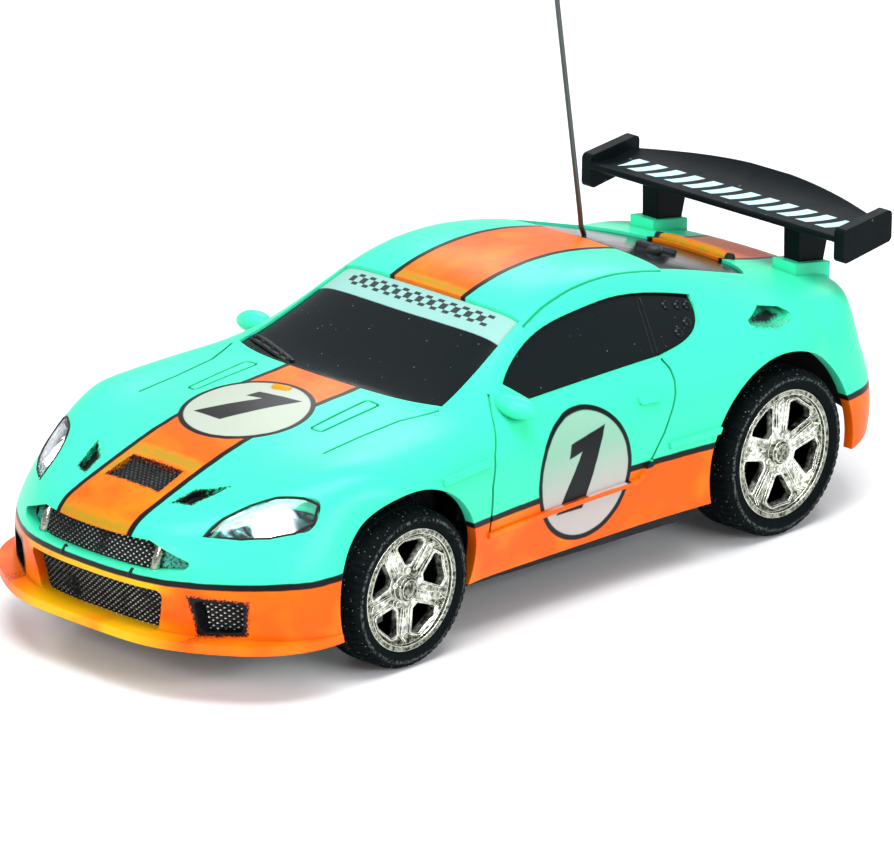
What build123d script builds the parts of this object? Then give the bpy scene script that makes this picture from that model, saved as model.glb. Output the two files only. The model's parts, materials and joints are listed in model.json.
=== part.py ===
from build123d import *
import os
from functools import cache

import numpy as np

# Pocket-size remote control racing car, modelled as it comes apart on a bench.
# Millimetres. +X is forward, +Y is the car's left, +Z is up.
# The origin is on the ground, midway along and across the car.

# ---------------------------------------------------------------- driving sizes
WHEELBASE = 41.5
FRONT_AXLE_X = 19.25
REAR_AXLE_X = FRONT_AXLE_X - WHEELBASE
FRONT_TYRE_R = 6.15
REAR_TYRE_R = 6.7
FRONT_RIM_R = 4.75
REAR_RIM_R = 5.15
FRONT_WHEEL_Y = (12.1, 16.0)      # inner and outer rim face
REAR_WHEEL_Y = (11.4, 16.1)

SILL_Z = 4.0                      # lower edge of the body surface
WALL = 0.9                        # body shell thickness
GLASS_SINK = 0.25                 # glazing sits this far below the paint
GROOVE_DEPTH = 0.22
GROOVE_WIDTH = 0.22
FIT = 0.04                        # gap around inserts
MOUTH_X = 33.7                    # grille openings are cut forward of here

FLOOR_Z = 3.2                     # underside of the chassis
FLOOR_TOP = 4.2

KINGPIN_Y = 10.2
KINGPIN_R = 0.8
ARM_X = 3.6                       # steering arm pin, ahead of the kingpin
ARM_Y = -0.6                      # and inboard of it
STUB_R = 0.5
AXLE_R = 0.6
RUNNING = 0.05                    # radial clearance of every running fit

MODULE = 0.3
PINION_TEETH = 9
BIG_TEETH = 22
SMALL_TEETH = 10
AXLE_TEETH = 20
GEAR_SHAFT_R = 0.4
GEAR_RISE = 20.0                  # degrees from the rear axle up to the gear shaft
MOTOR_DROP = -10.0                # degrees from the gear shaft to the motor shaft

ANTENNA_R = 0.2
ANTENNA_TIP = (-9.0, 0, 64.0)
ANTENNA_X = -16.3

# ---------------------------------------------------------------- body surface
# Control rows of the painted body. Each runs from the centreline, over the shoulder
# and down to the sill. The nose and tail rows bend round the corners in plan.
NOSE_ROWS = [
    [(36.5, 0, 4), (36.5, 3.5, 4), (36.0, 6.9, 4), (34.7, 9.6, 4), (33.1, 12.1, 4),
     (31.6, 14.0, 4), (30.2, 15.2, 4), (28.6, 15.9, 4), (27.1, 16.2, 4), (25.6, 16.3, 4)],
    [(36.6, 0, 6.2), (36.6, 3.5, 6.2), (36.1, 6.9, 6.2), (34.8, 9.6, 6.2), (33.2, 12.1, 6.2),
     (31.6, 14.0, 6.2), (30.0, 15.3, 6.2), (28.2, 16.0, 6.2), (26.6, 16.3, 5.8), (24.6, 16.3, 4)],
    [(37.6, 0, 8.5), (37.5, 3.5, 8.5), (37.0, 6.9, 8.5), (35.6, 9.7, 8.6), (33.6, 12.2, 8.7),
     (31.3, 14.2, 8.8), (29.1, 15.4, 8.8), (27.3, 16.0, 8.5), (25.6, 16.2, 7.4), (23.6, 16.3, 4)],
    [(37.5, 0, 10.5), (37.3, 3.5, 10.5), (36.6, 6.9, 10.6), (34.7, 9.4, 10.8), (32.4, 11.7, 11.1),
     (30.0, 13.6, 11.3), (27.9, 14.9, 11.2), (26.2, 15.6, 10.5), (24.6, 16.1, 8.6), (22.7, 16.3, 4)],
    [(37.1, 0, 12.5), (36.9, 3.5, 12.5), (35.7, 6.6, 12.5), (33.3, 9.0, 12.8), (30.7, 11.3, 13.3),
     (28.4, 13.2, 13.5), (26.5, 14.6, 13.1), (25.0, 15.5, 11.8), (23.5, 16.0, 9.0), (21.9, 16.3, 4)],
    [(34.4, 0, 13.5), (34.1, 3.4, 13.5), (32.9, 6.3, 13.5), (30.6, 8.7, 14.1), (28.4, 11.1, 14.8),
     (26.5, 13.1, 15.0), (25.0, 14.6, 14.4), (23.7, 15.5, 12.6), (22.4, 16.1, 9.3), (21.0, 16.3, 4)],
    [(30.4, 0, 14.8), (30.2, 3.4, 14.8), (29.3, 6.3, 14.7), (27.7, 8.8, 15.1), (26.0, 11.4, 15.7),
     (24.5, 13.5, 15.7), (23.2, 15.1, 14.9), (22.1, 16.1, 12.9), (21.1, 16.5, 9.5), (20.1, 16.3, 4)],
    [(25.5, 0, 16.4), (25.4, 3.4, 16.3), (25.1, 6.5, 16.0), (24.4, 9.1, 16.0), (23.4, 11.9, 16.3),
     (22.4, 14.1, 16.1), (21.4, 15.7, 15.1), (20.6, 16.6, 13.0), (19.8, 16.8, 9.5), (19.0, 16.3, 4)],
]
# Upright sections between the axles and over the cabin: X, then (Y, Z) from centre to sill.
STATIONS = [
    (19.0, [(0, 17.3), (3.5, 17.2), (7, 16.7), (9.5, 16.4), (12, 16.5),
            (14.3, 16.2), (16.0, 15.0), (16.9, 12.8), (16.9, 9), (16.3, 4)]),
    (14.0, [(0, 17.5), (3.5, 17.4), (7, 17.2), (9.8, 16.9), (12.2, 16.7),
            (14.2, 16.3), (15.7, 15.0), (16.4, 12.6), (16.1, 8.5), (15.3, 4)]),
    (11.3, [(0, 17.5), (3.5, 17.5), (7, 17.4), (10.2, 17.2), (12.4, 16.8),
            (13.9, 16.3), (15.3, 14.9), (16.0, 12.4), (15.7, 8.3), (14.6, 4)]),
    (6.5, [(0, 19.8), (3.5, 19.75), (7, 19.5), (10.0, 19.0), (12.0, 17.6),
           (13.6, 16.3), (14.9, 14.7), (15.6, 12.2), (15.5, 8.2), (14.8, 4)]),
    (1.0, [(0, 22.4), (3.5, 22.35), (7, 22.1), (9.6, 21.5), (11.5, 19.2),
           (13.4, 16.6), (14.6, 14.8), (15.3, 12.2), (15.3, 8.1), (15.1, 4)]),
    (-3.0, [(0, 23.2), (3.5, 23.2), (7, 23.0), (9.6, 22.6), (11.5, 19.8),
            (13.4, 16.8), (14.6, 14.8), (15.3, 12.2), (15.3, 8.1), (15.3, 4)]),
    (-8.0, [(0, 23.5), (3.5, 23.5), (7, 23.3), (9.6, 22.9), (11.5, 20.1),
            (13.5, 17.0), (14.7, 14.9), (15.4, 12.3), (15.5, 8.1), (15.5, 4)]),
    (-14.0, [(0, 22.8), (3.5, 22.7), (7, 22.5), (9.5, 22.0), (11.7, 19.6),
             (13.8, 17.3), (15.3, 15.2), (16.1, 12.6), (16.2, 8.2), (16.2, 4)]),
    (-20.0, [(0, 21.0), (3.5, 20.9), (7, 20.7), (9.3, 20.4), (12.0, 18.8),
             (14.4, 17.5), (16.2, 15.5), (17.0, 12.8), (17.0, 8.5), (16.8, 4)]),
    (-25.0, [(0, 19.4), (3.5, 19.3), (7, 19.1), (9.2, 18.9), (12.0, 18.1),
             (14.3, 17.2), (16.1, 15.4), (16.9, 12.6), (16.8, 8.5), (16.6, 4)]),
]
TAIL_ROWS = [
    [(-29.5, 0, 18.0), (-29.5, 3.5, 18.0), (-29.5, 7, 17.9), (-29.2, 9.2, 17.8), (-28.7, 11.7, 17.5),
     (-28.1, 13.7, 16.7), (-27.3, 15.4, 15.0), (-26.5, 16.3, 12.3), (-25.7, 16.4, 8.3), (-25.1, 16.4, 4)],
    [(-33.5, 0, 17.2), (-33.4, 3.5, 17.2), (-33.0, 7, 17.2), (-32.3, 9.5, 17.2), (-31.0, 12, 17.1),
     (-29.4, 13.9, 16.5), (-28.2, 15.2, 14.9), (-27.0, 16.0, 12.2), (-26.3, 16.4, 8.2), (-25.9, 16.4, 4)],
    [(-36.5, 0, 16.8), (-36.4, 3.5, 16.8), (-35.9, 7, 16.8), (-35.1, 9.6, 16.9), (-33.7, 12.1, 16.9),
     (-31.8, 13.9, 16.2), (-30.0, 15.1, 14.6), (-28.5, 15.9, 12.0), (-27.2, 16.3, 8.2), (-26.6, 16.4, 4)],
    [(-36.5, 0, 15.2), (-36.4, 3.5, 15.2), (-36.0, 7, 15.2), (-35.3, 9.7, 15.2), (-34.2, 12.1, 15.0),
     (-32.8, 13.9, 14.4), (-31.2, 15.1, 13.2), (-29.8, 15.8, 11.2), (-28.2, 16.3, 8.0), (-27.3, 16.4, 4)],
    [(-36.7, 0, 12.2), (-36.7, 3.5, 12.2), (-36.4, 7, 12.2), (-35.8, 9.9, 12.2), (-34.9, 12.3, 12.1),
     (-33.7, 14.1, 11.7), (-32.3, 15.2, 10.9), (-30.9, 15.9, 9.6), (-29.3, 16.3, 7.4), (-28.1, 16.4, 4)],
    [(-38.0, 0, 9.6), (-38.0, 3.5, 9.6), (-37.7, 7, 9.6), (-37.0, 10.0, 9.6), (-35.9, 12.5, 9.5),
     (-34.5, 14.3, 9.2), (-33.1, 15.4, 8.7), (-31.7, 16.0, 7.9), (-30.2, 16.3, 6.5), (-28.9, 16.4, 4)],
    [(-38.1, 0, 6.6), (-38.1, 3.5, 6.6), (-37.8, 7, 6.6), (-37.1, 9.9, 6.6), (-36.0, 12.3, 6.6),
     (-34.6, 14.1, 6.5), (-33.3, 15.2, 6.2), (-32.1, 15.8, 5.8), (-30.9, 16.2, 5.2), (-29.7, 16.3, 4)],
    [(-37.2, 0, 4), (-37.2, 3.5, 4), (-36.9, 7, 4), (-36.2, 9.7, 4), (-35.2, 12, 4),
     (-34.0, 13.7, 4), (-33.0, 14.8, 4), (-32.1, 15.5, 4), (-31.3, 16.0, 4), (-30.5, 16.2, 4)],
]
SURFACE_ROWS = 90
SURFACE_COLUMNS = 65


def body_net():
    """Control net of the whole body, right sill to left sill."""
    rows = list(NOSE_ROWS)
    for x, section in STATIONS:
        rows.append([(x, y, z) for y, z in section])
    rows += TAIL_ROWS
    left = np.array(rows, float)
    right = left[:, :0:-1] * [1, -1, 1]
    return np.concatenate([right, left], axis=1)


def net_normals(net):
    """Outward direction at each control point; level along the lower edge."""
    along = np.gradient(net, axis=0)
    across = np.gradient(net, axis=1)
    normals = np.cross(across, along)
    for edge in (np.s_[0, :], np.s_[-1, :], np.s_[:, 0], np.s_[:, -1]):
        normals[edge + (2,)] = 0
    normals[:, 0] = (0, -1, 0)
    normals[:, -1] = (0, 1, 0)
    return normals / np.linalg.norm(normals, axis=2, keepdims=True)


def spline_basis(count, samples):
    """Clamped uniform cubic B-spline basis: one row of weights per sample."""
    spans = count - 3
    knots = np.concatenate([np.zeros(3), np.arange(spans + 1), np.full(3, spans)])
    t = np.linspace(0, spans - 1e-9, samples)[:, None]
    weights = ((knots[:-1] <= t) & (t < knots[1:])).astype(float)
    for degree in (1, 2, 3):
        rise = knots[degree:-1] - knots[:-degree - 1]
        fall = knots[degree + 1:] - knots[1:-degree]
        up = (t - knots[:-degree - 1]) / np.where(rise > 0, rise, 1) * (rise > 0)
        down = (knots[degree + 1:] - t) / np.where(fall > 0, fall, 1) * (fall > 0)
        weights = up * weights[:, :-1] + down * weights[:, 1:]
    return weights


@cache
def blanket(depth):
    """Solid bounded by the body surface, moved in by depth, and the sill plane."""
    net = body_net()
    net = net - depth * net_normals(net)
    rows = spline_basis(net.shape[0], SURFACE_ROWS)
    columns = spline_basis(net.shape[1], SURFACE_COLUMNS)
    grid = np.einsum("ui,vj,ijk->uvk", rows, columns, net)
    points = [[Vector(*point) for point in row] for row in grid]
    skin = Face.make_surface_from_array_of_points(points, tol=0.005, min_deg=3, max_deg=3)
    base = Face(Wire(skin.edges()))
    return Solid(Shell([skin, base]))


# ---------------------------------------------------------------- small helpers
def block(x, y, z):
    """Box from its (low, high) pairs."""
    size = (x[1] - x[0], y[1] - y[0], z[1] - z[0])
    middle = (sum(x) / 2, sum(y) / 2, sum(z) / 2)
    return Pos(*middle) * Box(*size)


def rod(radius, start, end):
    """Cylinder between two points."""
    axis = Vector(*end) - Vector(*start)
    bar = Cylinder(radius, axis.length, align=(Align.CENTER, Align.CENTER, Align.MIN))
    return Plane(origin=start, z_dir=axis) * bar


def both(part):
    """A left-hand part and its right-hand mirror image."""
    return [part, mirror(part, about=Plane.XZ)]


def outline(points, rounding=0.0):
    """Closed face through the points, with rounded corners."""
    face = make_face(Polyline(*points, close=True))
    return fillet(face.vertices(), rounding) if rounding else face


def moved_out(ring, grow):
    """Corners of a closed ring moved outwards, square to its sides."""
    ring = np.array(ring, float)
    ahead = np.roll(ring, -1, axis=0) - ring
    ahead /= np.linalg.norm(ahead, axis=1, keepdims=True)
    right = np.stack([ahead[:, 1], -ahead[:, 0]], axis=1)
    area = np.sum(ring[:, 0] * np.roll(ring[:, 1], -1) - ring[:, 1] * np.roll(ring[:, 0], -1))
    before = np.roll(right, 1, axis=0)
    mitre = (right + before) / (1 + np.sum(right * before, axis=1, keepdims=True))
    return ring + grow * np.sign(area) * mitre


def curved_outline(sides, grow=0.0):
    """Closed face from sides that share their end points; a side of two points is straight."""
    ring = moved_out([point for side in sides for point in side[:-1]], grow)
    edges = []
    first = 0
    for side in sides:
        points = [tuple(ring[(first + step) % len(ring)]) for step in range(len(side))]
        edges.append(Line(*points) if len(points) == 2 else Spline(*points))
        first += len(side) - 1
    return make_face(edges)


def plan_prism(face, z_low, z_high):
    return extrude(Pos(0, 0, z_low) * face, z_high - z_low)


def side_prism(face, y_low, y_high):
    """Extrude an X-Z outline from y_low to y_high."""
    return extrude(Plane.XZ.offset(-y_low) * face, y_low - y_high)


def front_prism(face, x_low, x_high):
    """Extrude a Y-Z outline from x_low to x_high."""
    return extrude(Plane.YZ.offset(x_low) * face, x_high - x_low)


def line_face(points, width=GROOVE_WIDTH):
    """Narrow face along an open line."""
    return trace(Polyline(*points), width)


def wire_lead(points, radius=0.3):
    """Round lead swept along a smooth path."""
    path = Spline(*points)
    section = Plane(origin=path @ 0, z_dir=path % 0) * Circle(radius)
    return sweep(section, path=path)


def gear_face(teeth, bore, backlash=0.07):
    """Involute spur gear section with a round bore."""
    pitch_r = MODULE * teeth / 2
    base_r = pitch_r * np.cos(np.radians(20))
    tip_r = pitch_r + 0.85 * MODULE
    root_r = pitch_r - 1.15 * MODULE
    half_pitch = np.pi / 2 / teeth - backlash / 2 / pitch_r
    flank_start = max(root_r, base_r)
    points = []
    for tooth in range(teeth):
        middle = 2 * np.pi * tooth / teeth
        flank = []
        for radius in np.linspace(flank_start, tip_r, 4):
            roll = np.sqrt((radius / base_r) ** 2 - 1)
            pitch_roll = np.tan(np.radians(20))
            swing = (roll - np.arctan(roll)) - (pitch_roll - np.radians(20))
            flank.append((radius, half_pitch - swing))
        flank.insert(0, (root_r, flank[0][1]))
        for radius, angle in flank:
            points.append((radius * np.cos(middle - angle), radius * np.sin(middle - angle)))
        for radius, angle in reversed(flank):
            points.append((radius * np.cos(middle + angle), radius * np.sin(middle + angle)))
    return make_face(Polyline(*points, close=True)) - Circle(bore)


def spur_gear(teeth, bore, x, z, y_low, y_high, phase):
    """Gear about a Y axis; phase is the angle of one tooth, in degrees from +X towards +Z."""
    face = Rot(0, 0, phase) * gear_face(teeth, bore)
    return side_prism(Pos(x, z) * face, y_low, y_high)


OUTER = blanket(0)
INNER = blanket(WALL)


def skin_patch(cutter, depth_out, depth_in):
    """The piece of cutter that lies between two depths below the body surface."""
    return (cutter & blanket(depth_out)) - blanket(depth_in)


# ---------------------------------------------------------------- body openings
def windscreen_face(grow=0.0):
    top = [(0.7, -9.2), (1.2, -4.6), (1.3, 0), (1.2, 4.6), (0.7, 9.2)]
    bottom = [(10.8, 10.8), (11.75, 8.6), (12.5, 4.5), (12.75, 0), (12.5, -4.5), (11.75, -8.6), (10.8, -10.8)]
    return curved_outline([top, [top[-1], bottom[0]], bottom, [bottom[-1], top[0]]], grow)


def rear_window_face(grow=0.0):
    top = [(-15.6, -8.6), (-15.6, 8.6)]
    bottom = [(-25.6, 8.4), (-27.8, 4.8), (-28.3, 0), (-27.8, -4.8), (-25.6, -8.4)]
    return curved_outline([top, [top[-1], bottom[0]], bottom, [bottom[-1], top[0]]], grow)


def side_window_face(grow=0.0):
    roof = [(5.3, 18.0), (3.0, 19.4), (-0.2, 20.7), (-4.7, 21.35), (-8.1, 21.45), (-12.3, 20.9), (-16.4, 19.9)]
    rear = [(-16.4, 19.9), (-16.0, 18.8), (-13.6, 17.4), (-10.5, 16.9)]
    belt = [(-10.5, 16.9), (3.6, 16.65)]
    nose = [(3.6, 16.65), (5.3, 18.0)]
    return curved_outline([roof, rear, belt, nose], grow)


def window_prisms(grow=0.0):
    """Cutters for the four window openings."""
    prisms = [plan_prism(windscreen_face(grow), 14.5, 25), plan_prism(rear_window_face(grow), 15.5, 25)]
    return prisms + both(side_prism(side_window_face(grow), 8.0, 18.0))


def lower_grille_face():
    return outline([(-7.0, 8.1), (7.0, 8.1), (6.2, 4.75), (-6.2, 4.75)], 0.5)


def upper_grille_face():
    return outline([(-5.5, 11.7), (5.5, 11.7), (8.8, 10.4), (8.4, 9.9), (5.0, 9.4), (-5.0, 9.4),
                    (-8.4, 9.9), (-8.8, 10.4)], 0.25)


def duct_face():
    return outline([(9.1, 7.7), (12.2, 7.5), (12.1, 5.3), (9.4, 5.1)], 0.45)


def headlight_face(grow=0.0):
    """Teardrop seen from above, pointed end towards the nose."""
    rim_line = [(34.0, 8.6), (32.2, 8.9), (30.2, 9.8), (28.5, 11.0), (27.2, 12.6), (26.6, 13.6),
                (27.4, 14.0), (29.0, 13.4), (30.6, 12.3), (32.2, 10.8), (34.0, 8.6)]
    return curved_outline([rim_line], grow)


def tail_lamp_face():
    return outline([(9.6, 14.3), (13.4, 14.1), (14.3, 12.0), (12.6, 11.4), (9.8, 11.9)], 0.5)


# ---------------------------------------------------------------- body shell
def wheel_arches():
    front = rod(7.6, (FRONT_AXLE_X + 0.1, 9, 6.4), (FRONT_AXLE_X + 0.1, 20, 6.4))
    rear = rod(8.3, (REAR_AXLE_X + 0.4, 9, 6.7), (REAR_AXLE_X + 0.4, 20, 6.7))
    return both(front) + both(rear)


def splitter():
    """Thin lip that stands out under the nose."""
    edge = [(26.0, 16.15), (29.8, 15.9), (32.2, 14.8), (34.0, 13.2), (36.0, 10.4), (37.5, 7.0), (37.97, 2.5)]
    front = edge + [(x, -y) for x, y in reversed(edge)]
    lip = curved_outline([front, [front[-1], front[0]]])
    return plan_prism(lip, SILL_Z, SILL_Z + 0.75) - plan_prism(
        outline([(20, -13.6), (30, -13.6), (34.6, -6.5), (34.6, 6.5), (30, 13.6), (20, 13.6)]), 3, 6)


def mirror_pod():
    pod = scale(Sphere(1), by=(1.15, 1.9, 0.85))
    return Pos(6.0, 13.9, 16.9) * Rot(-6, 0, 12) * pod


STAY_Y = (6.75, 8.35)


def wing_plinth():
    """Painted block on the boot that one wing stay plugs into."""
    side = outline([(-31.3, 16.0), (-31.3, 18.4), (-35.3, 17.75), (-35.3, 15.6)])
    return side_prism(side, STAY_Y[0] - 0.4, STAY_Y[1] + 0.5)


def screw_boss(x, top):
    """Post inside the body that a chassis screw bites into."""
    return rod(1.3, (x, 0, FLOOR_TOP + FIT), (x, 0, top)) & blanket(0.5)


def side_panel_lines():
    """Door shut lines, as narrow side-view faces."""
    front = line_face([(6.9, 17.6), (8.1, 16.3), (9.6, 14.2), (10.3, 12.0), (10.4, 8.3)])
    rear = line_face([(-10.3, 16.8), (-10.75, 16.0), (-10.8, 15.1), (-10.55, 14.2), (-10.1, 13.3), (-9.0, 11.5),
                      (-7.6, 9.7)])
    return [front, rear]


def raised_trims():
    """Door ledge, fender strake, rear shoulder and door pull that stand proud of the side."""
    ledge = line_face([(10.6, 8.15), (-6.2, 8.35), (-7.6, 9.6)], 0.42)
    strake = line_face([(16.2, 13.95), (10.3, 13.95)], 0.5)
    shoulder = line_face([(-9.4, 10.45), (-14.6, 10.6)], 0.5)
    pull = outline([(-6.7, 15.0), (-8.9, 14.9), (-8.9, 14.1), (-6.7, 14.2)], 0.3)
    return [ledge, strake, shoulder, pull]


def top_panel_lines():
    gutter = line_face([(0.9, 9.7), (-1.6, 9.35), (-5.0, 9.1), (-10.0, 8.9), (-15.4, 8.9)])
    crease = line_face([(22.5, 9.8), (18.5, 9.75), (14.5, 9.95), (11.3, 11.0)])
    slot = outline([(20.3, 6.0), (20.0, 7.2), (13.6, 7.2), (13.6, 5.7)], 0.4)
    slot_groove = slot - offset(slot, -GROOVE_WIDTH)
    return [gutter, crease, slot_groove]


def hood_vents():
    """Shallow pockets behind the grille: the middle mesh and one slit each side."""
    middle = outline([(32.7, -2.85), (30.1, -2.7), (30.1, 2.7), (32.7, 2.85)], 0.3)
    slit = outline([(32.9, 4.8), (31.3, 5.2), (29.3, 7.1), (30.8, 6.7), (32.5, 5.9)], 0.2)
    return [middle, slit, mirror(slit, about=Plane.XZ)]


def quarter_vent():
    return outline([(-19.3, 17.4), (-22.3, 18.05), (-24.3, 17.6), (-25.3, 16.9), (-22.4, 16.75)], 0.2)


def rear_bumper_trim():
    """Space below the rising rear bumper edge and the sills."""
    tail = outline([(-27.0, 3.0), (-27.0, 4.6), (-33.5, 5.9), (-40, 5.9), (-40, 3.0)])
    sill = outline([(-15.0, 3.0), (-15.0, 4.8), (13.5, 4.4), (13.5, 3.0)])
    return [side_prism(tail, -20, 20), side_prism(sill, -20, 20)]


def body_shell():
    shell = OUTER - INNER
    groove_floor = blanket(GROOVE_DEPTH)
    pocket_floor = blanket(0.5)
    proud = blanket(-0.28)
    for face in side_panel_lines():
        for groove in both(side_prism(face, 9, 19)):
            shell -= groove - groove_floor
    for face in top_panel_lines():
        for groove in both(plan_prism(face, 14, 26)):
            shell -= groove - groove_floor
    for face in raised_trims():
        for trim in both(side_prism(face, 9, 19)):
            shell += trim & (proud - groove_floor)
    for face in hood_vents():
        shell -= plan_prism(face, 12, 17) - pocket_floor
    for vent in both(side_prism(quarter_vent(), 10, 18)):
        shell -= vent - pocket_floor
    for lamp in both(front_prism(tail_lamp_face(), -40, -29)):
        shell -= lamp - pocket_floor
    for pod in both(mirror_pod()):
        shell += pod - INNER
    for plinth in both(wing_plinth()):
        shell += plinth - INNER
    shell += splitter() - INNER
    shell += screw_boss(32.3, 14.6)
    shell += screw_boss(-30.5, 18.6)
    shell -= window_prisms()
    shell -= wheel_arches()
    shell -= front_prism(lower_grille_face(), MOUTH_X, 42)
    shell -= front_prism(upper_grille_face(), MOUTH_X, 42)
    for duct in both(front_prism(duct_face(), 30, 42)):
        shell -= duct
    for lamp in both(plan_prism(headlight_face(), 10.8, 17)):
        shell -= lamp
    for x in (32.3, -30.5):
        shell -= rod(0.55, (x, 0, 3), (x, 0, 9))
    shell -= rod(0.45, (ANTENNA_X, 0, 18), (ANTENNA_X, 0, 25))
    shell -= rear_bumper_trim()
    return shell


def window_insert():
    """Smoked cabin moulding: four panes joined by a flange under the roof."""
    insert = block((-28.9, 13.4), (-14.2, 14.2), (16.1, 25)) & blanket(WALL + FIT)
    for prism in window_prisms(-FIT):
        insert += prism & blanket(GLASS_SINK)
    insert -= blanket(1.55)
    return insert - rod(0.45, (ANTENNA_X, 0, 18), (ANTENNA_X, 0, 25))


def lower_grille():
    """Black backing behind the lower mouth and the two brake ducts."""
    band = block((29, 40), (-13.2, 13.2), (4.4, 8.6))
    boss_room = rod(1.5, (32.3, 0, 3), (32.3, 0, 20))
    return skin_patch(band, WALL + FIT, 1.5) - boss_room


def upper_grille():
    """Black backing behind the upper mouth, notched round the headlight bowls."""
    band = block((29, 40), (-8.95, 8.95), (8.9, 12.1))
    for bowl in both(plan_prism(headlight_face(0.45), 8, 13)):
        band -= bowl
    backing = skin_patch(band, WALL + FIT, 1.5)
    return backing.solids().sort_by(SortBy.VOLUME)[-1]


def headlight_lens():
    return skin_patch(plan_prism(headlight_face(-FIT), 10.8, 17), 0.06, 0.6)


LED_TIP = (29.95, 11.29, 12.38)
LED_TAIL = (28.6, 10.3, 10.9)
LED_R = 0.95


def headlight_reflector():
    bowl = skin_patch(plan_prism(headlight_face(0.35), 10.2, 17), WALL + FIT, 1.35)
    return bowl - rod(LED_R + RUNNING, LED_TAIL, (32.0, 12.8, 14.6))


def headlight_led():
    lamp = rod(LED_R, LED_TAIL, LED_TIP)
    flange = rod(LED_R + 0.2, LED_TAIL, Vector(*LED_TAIL) + Vector(0.25, 0.18, 0.27))
    return lamp + flange


def tail_lamp():
    pocket = front_prism(offset(tail_lamp_face(), -FIT), -40, -29)
    return skin_patch(pocket, 0.03, 0.5 - FIT)


# ---------------------------------------------------------------- rear wing
WING_Y = 12.95                    # half width of the blade


def wing_blade():
    upper = ThreePointArc((-31.2, 21.75), (-34.8, 21.7), (-38.0, 22.75))
    lower = ThreePointArc((-38.0, 22.45), (-34.6, 21.15), (-31.2, 21.2))
    tip = Line((-38.0, 22.75), (-38.0, 22.45))
    nose = ThreePointArc((-31.2, 21.2), (-30.9, 21.5), (-31.2, 21.75))
    section = side_prism(make_face([upper, tip, lower, nose]), -WING_Y, WING_Y)
    trailing = ThreePointArc((-36.0, -WING_Y), (-38.05, 0), (-36.0, WING_Y))
    sides = Polyline((-36.0, WING_Y), (-29, WING_Y), (-29, -WING_Y), (-36.0, -WING_Y))
    return section & plan_prism(make_face([trailing, sides]), 19, 25)


def rear_wing():
    wing = wing_blade()
    endplate = side_prism(outline([(-31.0, 22.35), (-36.7, 22.95), (-36.7, 20.35), (-31.0, 19.55)], 0.45),
                          WING_Y, WING_Y + 1.0)
    stay = side_prism(outline([(-32.1, 21.4), (-36.0, 21.65), (-34.9, 17.2), (-32.2, 17.6)]), *STAY_Y)
    for piece in both(endplate) + both(stay):
        wing += piece
    plinths = Compound(both(wing_plinth()))
    return wing - plinths - OUTER


# ---------------------------------------------------------------- wheels
def around(face, phase, count=5):
    """Copies of a face spaced evenly about the wheel centre."""
    return Sketch() + [Rot(0, 0, phase + 360 * turn / count) * face for turn in range(count)]


def rim_window(radius):
    """Opening between two spokes, lying along the X axis."""
    return outline([(1.85, -0.3), (1.85, 0.3), (radius - 1.4, 1.5), (radius - 0.95, 0.95),
                    (radius - 0.95, -0.95), (radius - 1.4, -1.5)], 0.2)


def rim_ribs(radius):
    """Pointed rib along a spoke, and a raised border for its neighbour window."""
    window = rim_window(radius)
    border = Rot(0, 0, 36) * (offset(window, 0.16) - window)
    middle_rib = outline([(1.6, -0.1), (1.6, 0.1), (radius - 1.15, 0.32), (radius - 0.65, 0.0),
                          (radius - 1.15, -0.32)])
    return Sketch() + [middle_rib, border]


def rim(radius, span, bore, bore_end, phase):
    """Left wheel centred on the Y axis: barrel, nearly flat face, five ribbed spokes."""
    y_in, y_out = span
    barrel_r = radius - 0.4
    shoulder_r = barrel_r - 0.6
    hub = [(0, y_out - 0.15), (0.75, y_out - 0.15), (0.95, y_out - 0.35), (1.0, y_out - 0.8)]
    dish = [(1.75, y_out - 0.8), (shoulder_r, y_out - 0.65), (radius - 0.45, y_out - 0.3)]
    lip = [(radius - 0.4, y_out), (radius, y_out), (radius, y_out - 0.5), (barrel_r, y_out - 0.8)]
    barrel = [(barrel_r, y_in + 0.8), (radius, y_in + 0.5), (radius, y_in), (barrel_r - 0.5, y_in),
              (barrel_r - 0.5, y_out - 1.7), (1.5, y_out - 2.3), (1.3, y_in), (0, y_in)]
    wheel = revolve(make_face(Polyline(*hub, *dish, *lip, *barrel, close=True)), axis=Axis.Y)
    raised = [(1.3, y_out - 0.6), (1.75, y_out - 0.56), (shoulder_r, y_out - 0.42), (radius - 0.5, y_out - 0.1),
              (radius - 0.5, y_out - 0.45), (shoulder_r, y_out - 0.85), (1.3, y_out - 1.0)]
    ridge_band = revolve(make_face(Polyline(*raised, close=True)), axis=Axis.Y)
    wheel += side_prism(around(rim_ribs(radius), phase), y_out - 2, y_out + 1) & ridge_band
    wheel += side_prism(around(Pos(1.38, 0) * Circle(0.24), phase + 36), y_out - 1.2, y_out - 0.45)
    wheel -= side_prism(around(rim_window(radius), phase + 36), y_in + 1.5, y_out + 1)
    return wheel - rod(bore, (0, y_in - 1, 0), (0, bore_end, 0))


def tyre(radius, rim_radius, span):
    """Low-profile tyre that fills the rim well; two shallow rings round the tread."""
    y_in, y_out = span
    seat = rim_radius - 0.4
    lip = rim_radius + 0.02
    middle = (y_in + y_out) / 2
    profile = [(seat, y_in + 0.8), (lip, y_in + 0.5), (lip, y_in), (radius - 0.85, y_in - 0.25),
               (radius - 0.25, y_in - 0.05), (radius, y_in + 0.5), (radius, middle - 0.85),
               (radius - 0.15, middle - 0.75), (radius - 0.15, middle - 0.55), (radius, middle - 0.45),
               (radius, middle + 0.45), (radius - 0.15, middle + 0.55), (radius - 0.15, middle + 0.75),
               (radius, middle + 0.85), (radius, y_out - 0.5), (radius - 0.25, y_out + 0.05),
               (radius - 0.85, y_out + 0.25), (lip, y_out), (lip, y_out - 0.5), (seat, y_out - 0.8)]
    return revolve(make_face(Polyline(*profile, close=True)), axis=Axis.Y)


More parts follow.
